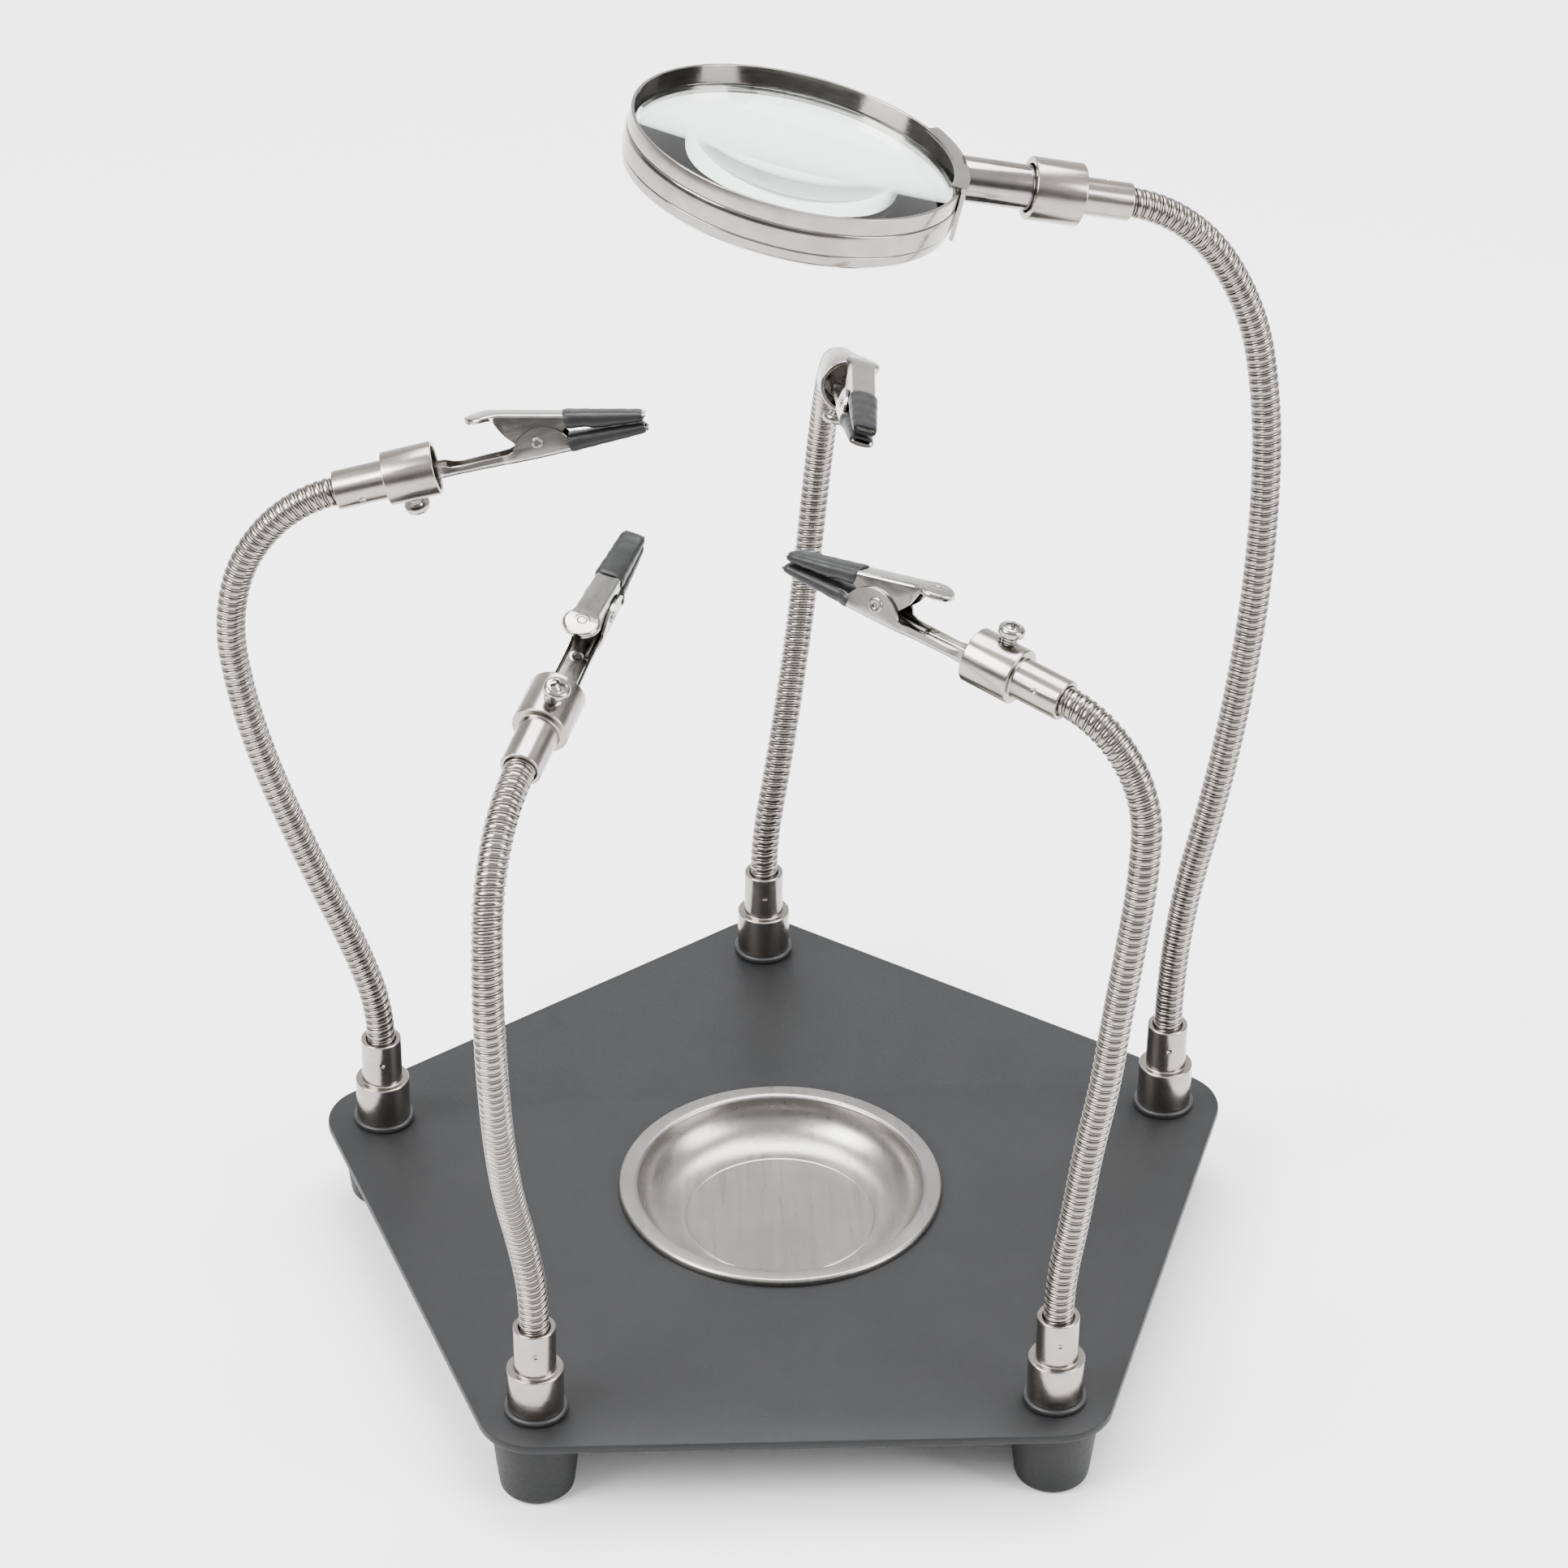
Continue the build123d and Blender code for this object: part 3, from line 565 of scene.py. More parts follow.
def recessed_head(radius, height, recess, segments=64):
    """Domed screw head with a cross-shaped recess. Seat at z = 0, top at z = height."""
    rings = 26
    points, faces = [], []
    levels = [(radius * 0.98, 0.0), (radius, height * 0.08), (radius, height * 0.4)]
    for k in range(1, 7):
        a = k / 6 * pi / 2
        levels.append((radius * (0.62 + 0.38 * cos(a)), height * (0.4 + 0.42 * sin(a))))
    for k in range(1, rings):
        r = radius * 0.62 * (1 - k / rings)
        levels.append((r, height * (0.82 + 0.18 * (1 - (r / (radius * 0.62)) ** 2))))
    arm, slot_width, depth = recess
    for r, z in levels:
        for j in range(segments):
            a = 2 * pi * j / segments
            x, y = r * cos(a), r * sin(a)
            inside = 0.0
            if z > height * 0.8:
                for u, v in ((x, y), (y, x)):
                    wide = slot_width * (0.6 + 0.4 * (1 - abs(u) / arm)) if abs(u) < arm else 0.0
                    if wide > 0:
                        edge_fall = min(1.0, max(0.0, (wide - abs(v)) / 0.12))
                        end_fall = min(1.0, max(0.0, (arm - abs(u)) / 0.35))
                        inside = max(inside, edge_fall * end_fall)
            points.append((x, y, z - depth * inside))
    rows = len(levels)
    for i in range(rows - 1):
        for j in range(segments):
            k = (j + 1) % segments
            faces.append((i * segments + j, i * segments + k, (i + 1) * segments + k, (i + 1) * segments + j))
    points.append((0, 0, height - depth))
    for j in range(segments):
        faces.append(((rows - 1) * segments + j, (rows - 1) * segments + (j + 1) % segments, len(points) - 1))
    faces.append(tuple(range(segments))[::-1])
    return points, faces


def foot_screw_part():
    head = moved(recessed_head(3.7, 2.4, (2.0, 0.55, 1.2)), Matrix.Rotation(pi, 4, "X"))
    head = moved(head, Matrix.Translation((0, 0, 6.0)))
    shank = lathe([(0, 6.0), (2.0, 6.0), (2.0, 26.2), (1.6, 26.9), (0, 26.9)], 32, closed=False)
    return merged(head, shank)


def gasket_part():
    return lathe(rounded([
        (2.3, plate_top + 0.01), (6.2, plate_top + 0.01), (6.2, gasket_top - 0.02),
        (2.3, gasket_top - 0.02)], 0.55, 5), 64)


def base_collar_part():
    return lathe(rounded([
        (2.1, gasket_top), (5.5, gasket_top), (5.5, collar_step), (4.1, collar_step),
        (4.1, collar_top), (3.0, collar_top), (3.0, collar_top - 8.0), (2.1, collar_top - 8.0),
    ], 0.32, 4), 72)


def tray_part():
    top = plate_top + 1.5
    bowl = []
    for k in range(25):
        a = k / 24 * pi / 2
        bowl.append((29.0 - 9.2 * (1 - cos(a)), top - 0.5 - 8.3 * sin(a)))
    inside = [(32.55, plate_top + 0.02), (32.9, plate_top + 0.02), (32.9, top - 0.55), (32.5, top),
              (29.9, top), (29.3, top - 0.15)]
    inside += bowl
    floor = top - 8.8
    inside += [(19.45, floor - 0.02), (19.2, floor + 0.14), (18.95, floor + 0.02), (0, floor)]
    shell = rounded(inside, 0.25, 3, closed=False)
    back = [(0, floor - 0.6), (19.6, floor - 0.6)]
    for k in range(24, -1, -1):
        a = k / 24 * pi / 2
        back.append((29.55 - 9.2 * (1 - cos(a)), top - 0.9 - 8.45 * sin(a)))
    back += [(30.2, top - 0.65), (32.3, top - 0.65)]
    return lathe(shell + back, 120)


def base_pieces():
    placed("plate", plate_part(), plate_paint(), IDENTITY, "base", "plate_coat", "base_plate")
    placed("rubber_feet", at_corners(foot_part()), foot_paint(), IDENTITY, "base", "foot_rubber", "feet")
    placed("foot_screw_set", at_corners(foot_screw_part()), screw_metal, IDENTITY, "base",
           "screw_steel", "foot_screws")
    placed("gasket_set", at_corners(gasket_part()), gasket_paint(), IDENTITY, "base",
           "gasket_rubber", "collar_gaskets")
    collars = solid("base_collar_set", *at_corners(base_collar_part()), nickel)
    dents = []
    for angle in DENT_ANGLES:
        for i in range(CORNERS):
            centre = corner_matrix(i).translation
            a = radians(angle)
            spot = Vector((4.75 * cos(a), 4.75 * sin(a), collar_step + 5.4))
            dents.append(moved(ball(dent_radius), Matrix.Translation(centre + spot)))
    cut_out(collars, solid("dent", *merged(*dents), nickel))
    placed("base_collar_set", collars, nickel, IDENTITY, "base", "nickel", "base_collars")
    placed("parts_tray", tray_part(), tray_paint(), IDENTITY, "tray", "tray_steel", "tray")


def ball(radius):
    profile = [(radius * sin(pi * k / 12), -radius * cos(pi * k / 12)) for k in range(13)]
    profile[0], profile[-1] = (0.0, -radius), (0.0, radius)
    points, faces = lathe(profile[1:-1], 20, closed=False)
    rows = len(profile) - 2
    points = np.vstack([points, [(0, 0, -radius), (0, 0, radius)]])
    low, high = len(points) - 2, len(points) - 1
    for i in range(20):
        n = (i + 1) % 20
        faces.append((low, n * rows, i * rows))
        faces.append((high, i * rows + rows - 1, n * rows + rows - 1))
    return points, faces


# ------------------------------------------------------------------ collars and clamp screws
def top_collar(name, small, thick, bore, clamp_x):
    """Stepped collar along X with its clamp screw's hole on the +Z side."""
    part = lathe(rounded([
        (3.0, 0), (small, 0), (small, 10.0), (thick, 10.0), (thick, 20.0), (bore, 20.0),
        (bore, 11.2), (0.01, 11.2), (0.01, 8.1), (3.0, 8.1),
    ], 0.32, 4), 80, axis="x")
    obj = solid(name, *part, nickel)
    hole = lathe([(0.001, 2.0), (1.62, 2.0), (1.62, thick - 0.45), (2.15, thick + 0.1),
                  (2.15, thick + 2), (0.001, thick + 2)], 32)
    dents = [moved(ball(dent_radius), Matrix.Translation((5.0, 0, side * (small + 0.55))))
             for side in (-1, 1)]
    turned_dents = [moved(d, Matrix.Rotation(radians(-78), 4, "X")) for d in dents]
    cutter = merged(moved(hole, Matrix.Translation((clamp_x, 0, 0))), *turned_dents)
    cut_out(obj, solid("cutter", *cutter, nickel))
    return obj


def clamp_screw_part(thick, tip):
    seat = thick + 1.9
    head = moved(recessed_head(2.5, 1.9, (1.5, 0.42, 0.85)), Matrix.Translation((0, 0, seat)))
    head = moved(head, Matrix.Rotation(0.5, 4, "Z"))
    thread = wound(straight, tip + 0.3, seat - 0.35, 0.5, THREAD, 24)
    core = lathe([(0.001, tip), (0.9, tip), (1.2, tip + 0.3), (1.2, seat), (0.001, seat)], 24)
    collar = lathe([(1.2, seat - 0.5), (1.5, seat), (1.2, seat)], 24)
    return merged(head, thread, core, collar)


# ------------------------------------------------------------------ crocodile clip
def channel(stations, wall, way):
    """Bent-sheet channel along X. Each station is (x, half width, floor, edge, corner).
    way is 1 for walls that rise from the floor and -1 for walls that hang from a roof."""
    steps = 5

    def section(x, half, floor, edge, corner, inset):
        corner = max(0.06, min(corner, half * 0.85, abs(edge - floor) * 0.9) - inset)
        half = max(0.05, half - inset)
        floor = floor + way * inset
        points = []
        for side in (1, -1):
            arc = []
            for k in range(steps + 1):
                a = k / steps * pi / 2
                arc.append((x, side * (half - corner * (1 - cos(a))), floor + way * corner * (1 - sin(a))))
            run = [(x, side * half, edge), (x, side * half, (edge + floor) / 2)] + arc
            points += run if side == 1 else run[::-1]
        return points

    outer = [section(*s, 0.0) for s in stations]
    inner = [section(*s, wall) for s in stations]
    count, rows = len(outer[0]), len(stations)
    points = np.array(outer + inner).reshape(-1, 3)
    base = rows * count
    faces = []
    for i in range(rows - 1):
        for k in range(count - 1):
            a, b = i * count + k, (i + 1) * count + k
            faces.append((a, b, b + 1, a + 1))
            faces.append((base + a + 1, base + b + 1, base + b, base + a))
        for k in (0, count - 1):
            a, b = i * count + k, (i + 1) * count + k
            face = (a, base + a, base + b, b)
            faces.append(face if k == 0 else face[::-1])
    for i in (0, rows - 1):
        for k in range(count - 1):
            a = i * count + k
            face = (a, a + 1, base + a + 1, base + a)
            faces.append(face if i == 0 else face[::-1])
    if way == -1:
        faces = [face[::-1] for face in faces]
    return points, faces


def blend_line(points, x):
    xs, ys = zip(*points)
    return float(np.interp(x, xs, ys))


def mouth_z(x):
    return -0.9 + (jaw_tip - x) * 0.085


def roof_z(x):
    return 1.3 + (jaw_tip - x) * 0.24


def tooth(x, start=31.0, count=6):
    """Share of a tooth's height at x."""
    if x < start:
        return 0.0
    phase = (x - start) / (jaw_tip - start) * count % 1.0
    return 1 - abs(2 * phase - 1)


def tooth_stations():
    return list(np.linspace(31.0, jaw_tip, 13))


def lower_jaw_part():
    floor = [(-8, -1.9), (2, -1.9), (pivot_x, -2.4), (sleeve_start, -2.4), (jaw_tip, -2.0)]
    edge = [(-8, 0.5), (0.5, 0.6), (1.6, 0.5), (3.2, -0.15), (5, -0.4), (9, -0.3), (14.6, -0.3),
            (14.9, -0.2)]
    width = [(-8, 2.85), (0, 2.95), (1.4, 3.15), (4, 2.85), (9, 2.75), (13.2, 2.8), (14.6, 3.1),
             (sleeve_start, 3.1), (sleeve_start + 2, 2.35), (jaw_tip, 1.95)]
    centre, radius = 20.9, 6.1
    xs = list(np.linspace(-8, 0, 5)) + list(np.linspace(0.5, 14.2, 30))
    tops = [blend_line(edge, x) for x in xs]
    low = -2.4
    for k in range(33):
        a = pi - 0.42 - (pi - 0.42 - 0.47) * k / 32
        xs.append(centre + radius * cos(a))
        tops.append(low + radius * sin(a))
    for x in list(np.linspace(27.2, 30.6, 6)) + tooth_stations():
        xs.append(x)
        tops.append(mouth_z(x) - 0.7 * (1 - tooth(x)) * (x >= 31))
    stations = [(x, blend_line(width, x), blend_line(floor, x), top, 0.9) for x, top in zip(xs, tops)]
    return channel(stations, sheet_wall, 1)


def upper_jaw_part():
    pad_x, pad_radius, pad_z = 11.1, 3.55, 8.2
    rear = [(12.2, 7.15), (12.9, 6.7), (13.3, 5.9), (13.8, 4.7), (14.4, 3.5), (15.1, 2.6),
            (15.7, 2.0), (17.0, 0.1), (18.6, -1.1), (20.4, -1.5), (22.2, -1.1), (23.6, 0.1),
            (25.0, 1.4), (sleeve_start, 2.4)]
    stations = []
    for k in range(13):
        a = pi - 0.10 - (pi / 2 - 0.10) * k / 12
        x = pad_x + pad_radius * cos(a)
        stations.append((x, pad_radius * sin(a), pad_z, pad_z - 1.05, 0.75))
    width = [(11.1, 3.55), (12.4, 3.3), (13.4, 2.65), (14.4, 2.45), (16, 2.45), (sleeve_start, 2.4),
             (jaw_tip, 1.95)]
    roof = [(11.1, pad_z), (12.6, 8.12), (14.0, roof_z(14.0))]
    for x in list(np.linspace(11.5, sleeve_start, 60)):
        height = blend_line(roof, x) if x < 14 else roof_z(x)
        edge = blend_line([(11.1, pad_z - 1.05)] + rear, x)
        stations.append((x, blend_line(width, x), height, edge, 0.75))
    for x in list(np.linspace(27.0, 30.4, 6)) + tooth_stations():
        gap = 1.12 + (0.9 if x < 31 else 0.7 * (1 - tooth(x)))
        stations.append((x, blend_line(width, x), roof_z(x), mouth_z(x) + gap, 0.75))
    return channel(stations, sheet_wall, -1)


def tube(stations, wall):
    """Closed soft tube along X. Each station is (x, half width, low, high)."""
    around = 36
    points, faces = [], []
    for inset in (0.0, wall):
        for x, half, low, high in stations:
            middle, tall = (low + high) / 2, (high - low) / 2
            for k in range(around):
                a = 2 * pi * k / around
                c, s = cos(a), sin(a)
                grip = (abs(c) ** sleeve_squareness + abs(s) ** sleeve_squareness) ** (-1 / sleeve_squareness)
                y = (half - inset) * grip * c
                z = middle + (tall - inset) * grip * s
                points.append((x, y, z))
    rows = len(stations)
    base = rows * around
    for i in range(rows - 1):
        for k in range(around):
            n = (k + 1) % around
            a, b, c, d = i * around + k, i * around + n, (i + 1) * around + n, (i + 1) * around + k
            faces.append((a, b, c, d))
            faces.append((base + d, base + c, base + b, base + a))
    for i in (0, rows - 1):
        for k in range(around):
            n = (k + 1) % around
            face = (i * around + k, base + i * around + k, base + i * around + n, i * around + n)
            faces.append(face if i == 0 else face[::-1])
    return points, faces


def sleeve_stations(half, low, high):
    stations = []
    xs = np.linspace(sleeve_start, sleeve_end, 26)
    for i, x in enumerate(xs):
        swell = 0.05 * sin(i * 1.1) + rng.uniform(-0.03, 0.03)
        lip = -0.18 if i in (0, len(xs) - 1) else (-0.05 if i in (1, len(xs) - 2) else 0.0)
        grow = swell * 0.5 + lip
        stations.append((x, half(x) + grow, low(x) - grow * (low(x) < high(x) - 1), high(x) + grow))
    return stations


def lower_sleeve_part():
    stations = sleeve_stations(
        lambda x: blend_line([(sleeve_start, 3.5), (sleeve_start + 2.2, 2.8), (jaw_tip, 2.35)], x),
        lambda x: blend_line([(sleeve_start, -2.85), (jaw_tip, -2.5)], x),
        lambda x: mouth_z(x) + 0.42)
    return tube(stations, sleeve_wall)


def upper_sleeve_part():
    stations = sleeve_stations(
        lambda x: blend_line([(sleeve_start, 2.85), (jaw_tip, 2.35)], x),
        lambda x: blend_line(
            [(sleeve_start, 1.75), (30.2, 1.3), (31.6, 0.66), (jaw_tip, mouth_z(jaw_tip) + 0.66)], x),
        lambda x: roof_z(x) + 0.48)
    return tube(stations, sleeve_wall)


def rivet_part():
    half = 3.12
    rolled = rounded([
        (0.6, -half - 0.32), (1.35, -half - 0.34), (1.55, -half), (1.1, -half + 0.1),
        (1.1, half), (1.0, half + 0.3), (0.6, half + 0.3)], 0.14, 3)
    across = moved(lathe(rolled, 40), Matrix.Rotation(pi / 2, 4, "X"))
    return moved(across, Matrix.Translation((pivot_x, 0, pivot_z)))


def wire(path, radius, around=12):
    """Round wire along a list of points."""
    path = [Vector(p) for p in path]
    points, faces = [], []
    side = None
    for i, p in enumerate(path):
        ahead = (path[min(i + 1, len(path) - 1)] - path[max(i - 1, 0)]).normalized()
        side = ahead.orthogonal() if side is None else side - ahead * side.dot(ahead)
        side.normalize()
        across = ahead.cross(side)
        for j in range(around):
            a = 2 * pi * j / around
            points.append(p + (side * cos(a) + across * sin(a)) * radius)
    for i in range(len(path) - 1):
        for j in range(around):
            k = (j + 1) % around
            faces.append((i * around + j, i * around + k, (i + 1) * around + k, (i + 1) * around + j))
    faces.append(tuple(range(around))[::-1])
    faces.append(tuple((len(path) - 1) * around + j for j in range(around)))
    return points, faces


def spring_parts():
    """The coil with its lower leg, and the upper leg."""
    mean, half, turns = 1.65, 1.5, 4
    coil = []
    for k in range(turns * 24 + 1):
        a = -pi / 2 - 2 * pi * k / 24
        coil.append((pivot_x + mean * cos(a), -half + 2 * half * k / (turns * 24), pivot_z + mean * sin(a)))
    low_leg = [(11.4, -half, -1.15), (14.0, -half, -1.15), (17.5, -half, -0.95), (19.4, -half, -0.80)]
    end = coil[-1]
    high_leg = [(end[0] + 0.05, half, end[2] + 0.05), (19.0, half, 1.2), (17.4, half, 4.2), (15.4, half, 6.3)]
    return wire(low_leg + coil, 0.34), wire(high_leg, 0.34)


# ------------------------------------------------------------------ magnifier
def ring_part():
    r, top, low = ring_radius, ring_top, ring_bottom
    return lathe(rounded([
        (r - 0.75, top), (r - 0.15, top), (r - 0.15, top - 3.2), (r - 0.5, top - 3.35),
        (r - 0.15, top - 3.5), (r + 0.0, top - 4.2), (r + 0.05, low + 2.9), (r - 0.5, low + 2.7),
        (r - 0.2, low + 2.5), (r - 0.45, low + 0.7), (r - 1.2, low), (r - 1.9, low),
        (r - 1.9, low + 3.4), (r - 0.9, low + 3.4)], 0.14, 3), 160)


def lens_part():
    radius = ring_radius - 1.0
    low_radius = radius - 1.1
    low = ring_bottom + 3.5
    high = low + 3.0
    bulge = 3.1

    def cap(reach, steps):
        curve = (reach ** 2 + bulge ** 2) / (2 * bulge)
        return [(reach * k / steps, sqrt(curve ** 2 - (reach * k / steps) ** 2) - curve + bulge)
                for k in range(steps + 1)]

    upper = [(r, high + z) for r, z in cap(radius - 0.3, 40)]
    lower = [(r, low - z) for r, z in cap(low_radius, 40)]
    profile = lower[1:] + [(radius, low), (radius, high - 0.3)] + upper[::-1][:-1]
    points, faces = lathe(profile, 160, closed=False)
    count = len(profile)
    points = np.vstack([points, [(0, 0, low - bulge), (0, 0, high + bulge)]])
    for i in range(160):
        n = (i + 1) % 160
        faces.append((len(points) - 2, n * count, i * count))
        faces.append((len(points) - 1, i * count + count - 1, n * count + count - 1))
    return points, faces


def yoke_part():
    r, top = ring_radius + 0.06, ring_top
    half = radians(24)
    section = rounded([
        (r, top + 0.06), (r - 2.2, top + 0.06), (r - 2.2, top + 0.8), (r + 0.8, top + 0.8),
        (r + 0.8, top - 9.8), (r, top - 9.8)], 0.3, 4)
    return lathe(section, 40, start=pi - half, sweep=2 * half)


def handle_part():
    return lathe(rounded([
        (3.5, -8), (4.3, -8), (4.3, handle_visible - 0.3), (3.5, handle_visible - 0.3)], 0.2), 64, axis="x")


# ------------------------------------------------------------------ arms
def end_matrix(route, roll):
    """X along the neck's end, Z up and turned by roll about the neck."""
    point, tangent, _ = route.end
    x = Vector(tangent)
    level = (Vector((0, 0, 1)) - x * x.z).normalized()
    sideways = x.cross(level)
    z = level * cos(radians(roll)) + sideways * sin(radians(roll))
    m = Matrix((x, z.cross(x), z)).transposed().to_4x4()
    m.translation = Vector(point)
    return m


def neck_pieces(name, route):
    """The winding in two pieces that meet half way up."""
    bend = 16.0
    pitch = 1.65
    start, end = -6.6, route.length + 6.6
    middle = start + round((route.length / 2 - start) / pitch) * pitch
    spans = (
        ("lower", start, middle + 2 * pitch, route.length / 3, ("low", "mid"), ("lower", "middle")),
        ("upper", middle, end, route.length * 2 / 3, ("mid", "end"), ("upper",)),
    )
    for label, low, high, hinge, bodies, nodes in spans:
        part = wound(route.at, low, high, pitch, WINDING, tucked=2 if label == "lower" else 0)
        obj = solid(name + "_winding_" + label, *part, neck_metal, 60.0)
        places = [[c * MM for c in route.at(hinge + side * bend)[0]] for side in (-1, 1)]
        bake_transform(obj)
        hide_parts(*[name + "_neck_" + node for node in nodes])


clip_collar = top_collar(
    "clip_collar", clip_collar_neck, clip_collar_radius, clip_collar_bore, clip_clamp_x)
glass_collar = top_collar(
    "glass_collar", glass_collar_neck, glass_collar_radius, glass_collar_bore, glass_clamp_x)
lower_jaw = solid("lower_jaw", *lower_jaw_part(), clip_metal, 40)
upper_jaw = solid("upper_jaw", *upper_jaw_part(), clip_metal, 40)
sleeve_rubber = sleeve_paint()
lower_sleeve = solid("lower_sleeve", *lower_sleeve_part(), sleeve_rubber, 60)
upper_sleeve = solid("upper_sleeve", *upper_sleeve_part(), sleeve_rubber, 60)
rivet = solid("rivet", *rivet_part(), clip_metal)
coil_part, leg_part = spring_parts()
coil = solid("coil", *coil_part, spring_metal, 60)
leg = solid("leg", *leg_part, spring_metal, 60)
clip_screw = solid("clip_screw", *clamp_screw_part(clip_collar_radius, clip_screw_tip), screw_metal)
glass_screw = solid("glass_screw", *clamp_screw_part(glass_collar_radius, glass_screw_tip), screw_metal)


def clip_arm(name, arm, route):
    collar = end_matrix(route, arm["screw_roll"])
    clip = end_matrix(route, arm["clip_roll"]) @ Matrix.Translation((collar_length, 0, 0))
    clamp = collar @ Matrix.Translation((clip_clamp_x, 0, 0))
    placed(name + "_collar", twin(clip_collar), nickel, collar, name + "_end", "nickel",
           name + "_top_collar")
    placed(name + "_screw", twin(clip_screw), screw_metal, clamp, name + "_clamp", "screw_steel",
           name + "_clamp_screw")
    body, jaw = name + "_clip", name + "_jaw"
    placed(name + "_jaw_low", twin(lower_jaw), clip_metal, clip, body, "clip_steel", name + "_lower_jaw")
    placed(name + "_jaw_high", twin(upper_jaw), clip_metal, clip, jaw, "clip_steel", name + "_upper_jaw")
    placed(name + "_sleeve_low", twin(lower_sleeve), sleeve_rubber, clip, body, "sleeve_rubber",
           name + "_lower_sleeve")
    placed(name + "_sleeve_high", twin(upper_sleeve), sleeve_rubber, clip, jaw, "sleeve_rubber",
           name + "_upper_sleeve")
    placed(name + "_rivet", twin(rivet), clip_metal, clip, body, "clip_steel", name + "_jaw_rivet")
    placed(name + "_spring_coil", twin(coil), spring_metal, clip, body, "spring_steel",
           name + "_jaw_spring")
    placed(name + "_spring_leg", twin(leg), spring_metal, clip, jaw, "spring_steel")


def magnifier_arm(name, arm, route):
    collar = end_matrix(route, arm["screw_roll"])
    handle = end_matrix(route, arm["clip_roll"]) @ Matrix.Translation((collar_length, 0, 0))
    ring = handle @ Matrix.Translation((handle_visible + ring_radius, 0, 0))
    clamp = collar @ Matrix.Translation((glass_clamp_x, 0, 0))
    body = name + "_glass"
    placed(name + "_collar", glass_collar, nickel, collar, name + "_end", "nickel", name + "_top_collar")
    placed(name + "_screw", glass_screw, screw_metal, clamp, name + "_clamp", "screw_steel",
           name + "_clamp_screw")
    placed(name + "_handle", handle_part(), ring_metal, handle, body, "ring_metal",
           name + "_handle_tube")
    placed(name + "_bracket", yoke_part(), ring_metal, ring, body, "ring_metal", name + "_yoke")
    placed(name + "_ring", ring_part(), ring_metal, ring, body, "ring_metal", name + "_lens_ring")
    placed(name + "_glass", lens_part(), glass_paint(), ring, body, "lens_glass", name + "_lens")


base_pieces()
for arm_name, arm_plan in ARMS.items():
    arm_route = Route(arm_plan)
    neck_pieces(arm_name, arm_route)
    build = clip_arm if arm_plan["end"] == "clip" else magnifier_arm
    build(arm_name, arm_plan, arm_route)
for pattern in (clip_collar, lower_jaw, upper_jaw, lower_sleeve, upper_sleeve, rivet, coil, leg, clip_screw):
    bpy.data.objects.remove(pattern)


# ------------------------------------------------------------------ floor, light and camera
def floor_paint():
    paint = Paint("studio_floor")
    paint.colour(paint.noise(3), (0.90, 0.90, 0.90), (0.93, 0.93, 0.93))
    paint.rough(paint.noise(40), 0.75, 0.85)
    return paint.material


def floor():
    """A pale sheet that curves up into a back wall, well away from the object."""
    profile = [(-3.0, 0.0), (1.6, 0.0)]
    for k in range(1, 13):
        a = k / 12 * pi / 2
        profile.append((1.6 + 0.8 * sin(a), 0.8 * (1 - cos(a))))
    profile.append((2.4, 3.2))
    points, faces = [], []
    for y, z in profile:
        points += [(-4000, y * 1000, z * 1000), (4000, y * 1000, z * 1000)]
    for i in range(len(profile) - 1):
        faces.append((2 * i, 2 * i + 1, 2 * i + 3, 2 * i + 2))
    solid("floor", points, faces, floor_paint(), 60)


def softbox(name, place, target, size, power, tone=(1, 1, 1)):
    data = bpy.data.lights.new(name, "AREA")
    data.shape = "RECTANGLE"
    data.size, data.size_y = size
    data.energy = power
    data.color = tone
    lamp = bpy.data.objects.new(name, data)
    lamp.location = place
    lamp.rotation_mode = "QUATERNION"
    lamp.rotation_quaternion = (Vector(target) - Vector(place)).to_track_quat("-Z", "Y")
    bpy.context.scene.collection.objects.link(lamp)


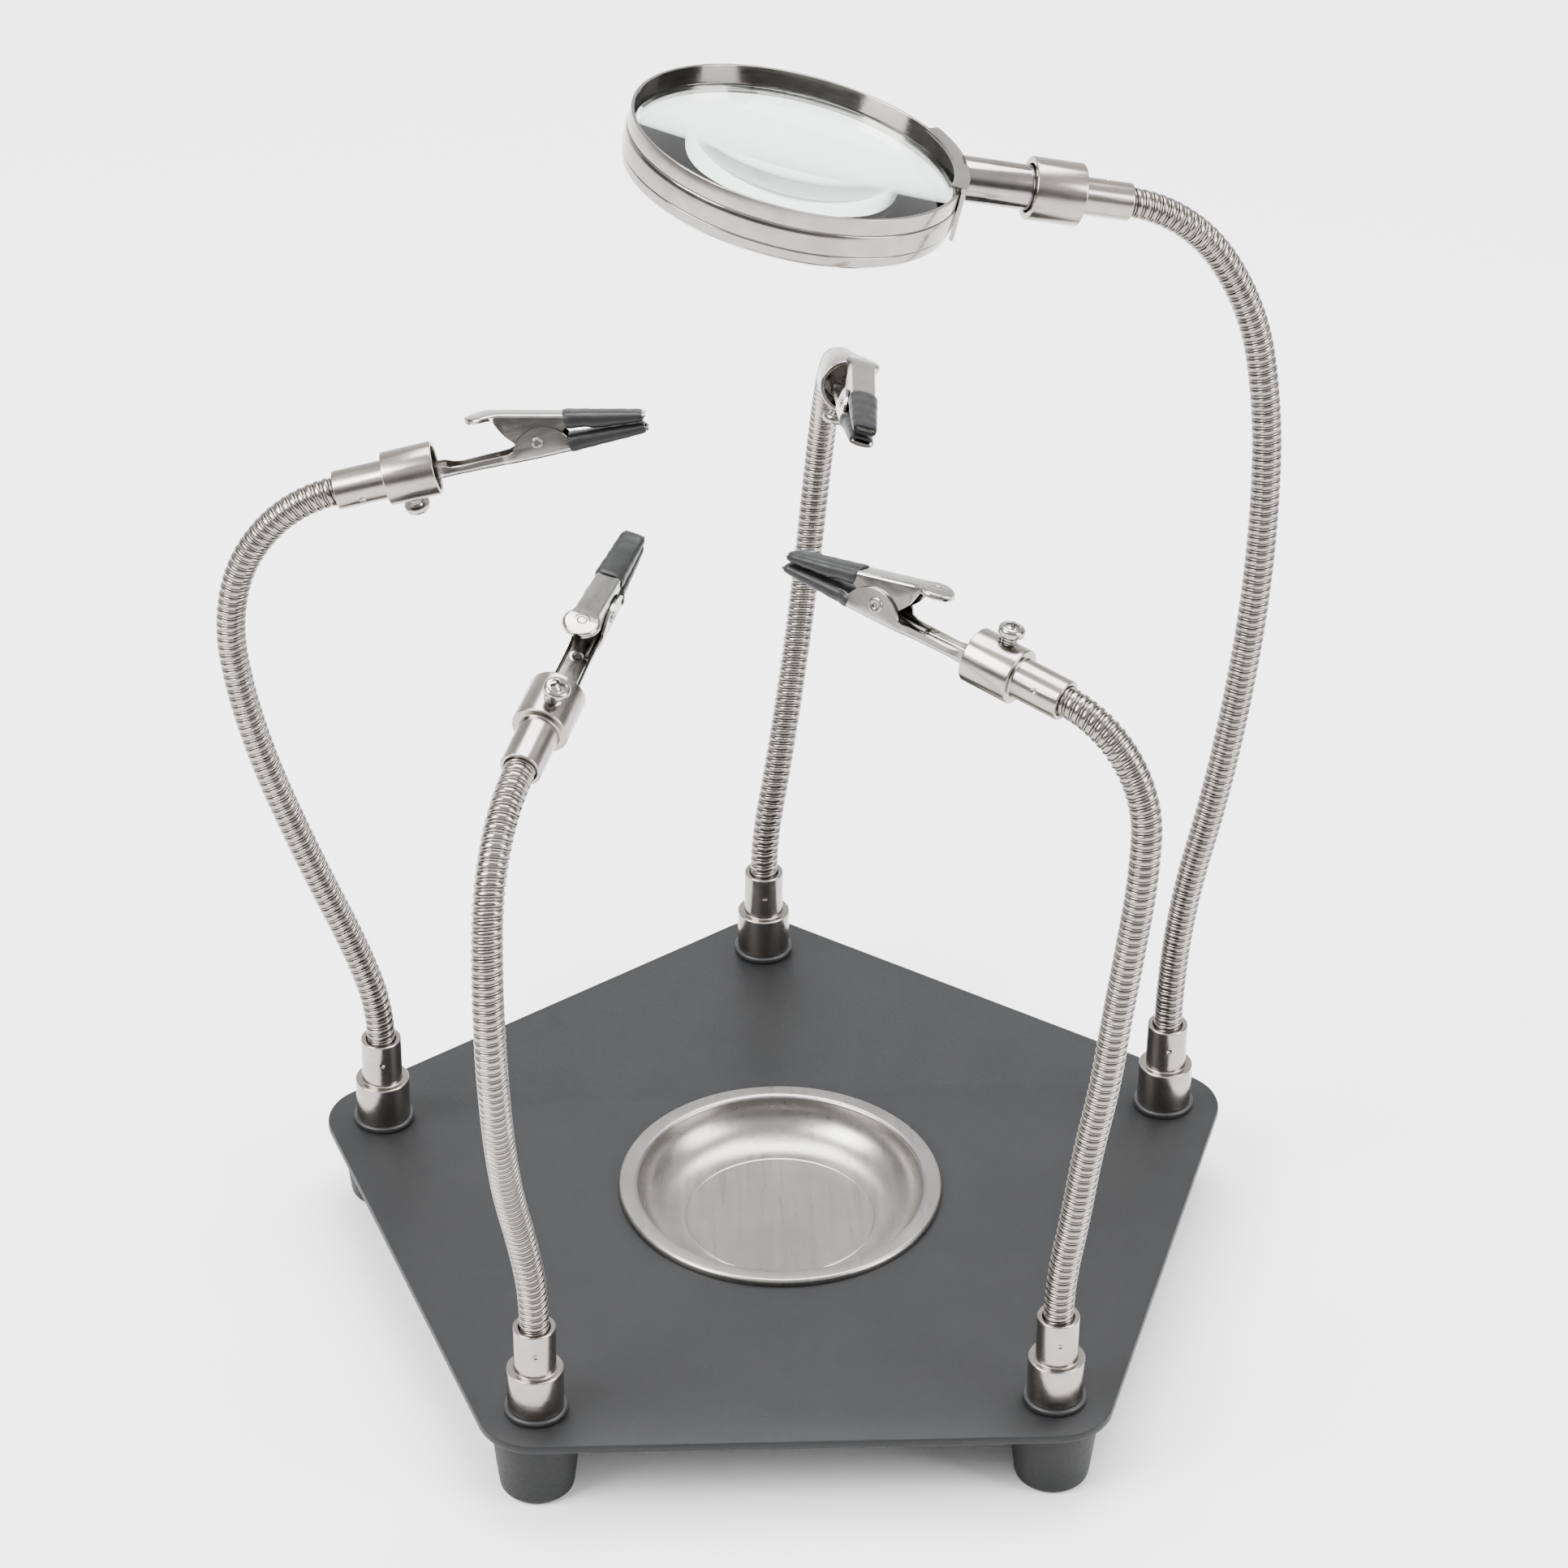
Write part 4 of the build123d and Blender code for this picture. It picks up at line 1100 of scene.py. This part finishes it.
def surroundings():
    """A room that is bright above and darker at eye level, so that metal has something to mirror."""
    world = bpy.data.worlds.new("studio")
    world.use_nodes = True
    nodes, links = world.node_tree.nodes, world.node_tree.links
    nodes.clear()
    coords = nodes.new("ShaderNodeTexCoord")
    split = nodes.new("ShaderNodeSeparateXYZ")
    links.new(coords.outputs["Generated"], split.inputs["Vector"])
    ramp = nodes.new("ShaderNodeValToRGB")
    stops = [(0.0, 0.55), (0.47, 0.42), (0.56, 0.16), (0.66, 0.28), (0.80, 0.95), (1.0, 1.0)]
    while len(ramp.color_ramp.elements) < len(stops):
        ramp.color_ramp.elements.new(0.5)
    for element, (place, value) in zip(ramp.color_ramp.elements, stops):
        element.position = place
        element.color = (value, value, value, 1)
    lift = nodes.new("ShaderNodeMapRange")
    lift.inputs["From Min"].default_value = -1
    links.new(split.outputs["Z"], lift.inputs["Value"])
    links.new(lift.outputs["Result"], ramp.inputs["Fac"])
    back = nodes.new("ShaderNodeBackground")
    back.inputs["Strength"].default_value = 1.35
    links.new(ramp.outputs["Color"], back.inputs["Color"])
    out = nodes.new("ShaderNodeOutputWorld")
    links.new(back.outputs["Background"], out.inputs["Surface"])
    bpy.context.scene.world = world


floor()
surroundings()
middle = (0, 0, 0.11)
softbox("key", (-1.1, -0.5, 1.15), middle, (0.9, 0.9), 62)
softbox("fill", (1.25, -0.55, 0.75), middle, (0.7, 1.0), 32)
softbox("top", (0.1, 0.45, 1.5), middle, (1.3, 0.9), 60)

lens = bpy.data.cameras.new("camera")
lens.sensor_width = 36.0
lens.lens = 122.67
lens.clip_start, lens.clip_end = 0.05, 50
camera = bpy.data.objects.new("camera", lens)
bpy.context.scene.collection.objects.link(camera)
bpy.context.scene.camera = camera
CAMERA_RIGHT = Vector((0.998983, -0.044114, 0.009378))
CAMERA_UP = Vector((0.016093, 0.542933, 0.839622))
CAMERA_BACK = Vector((-0.042130, -0.838617, 0.543091))
pose = Matrix((CAMERA_RIGHT, CAMERA_UP, CAMERA_BACK)).transposed().to_4x4()
pose.translation = Vector((-0.0436752, -0.8662083, 0.6768824))
camera.matrix_world = pose
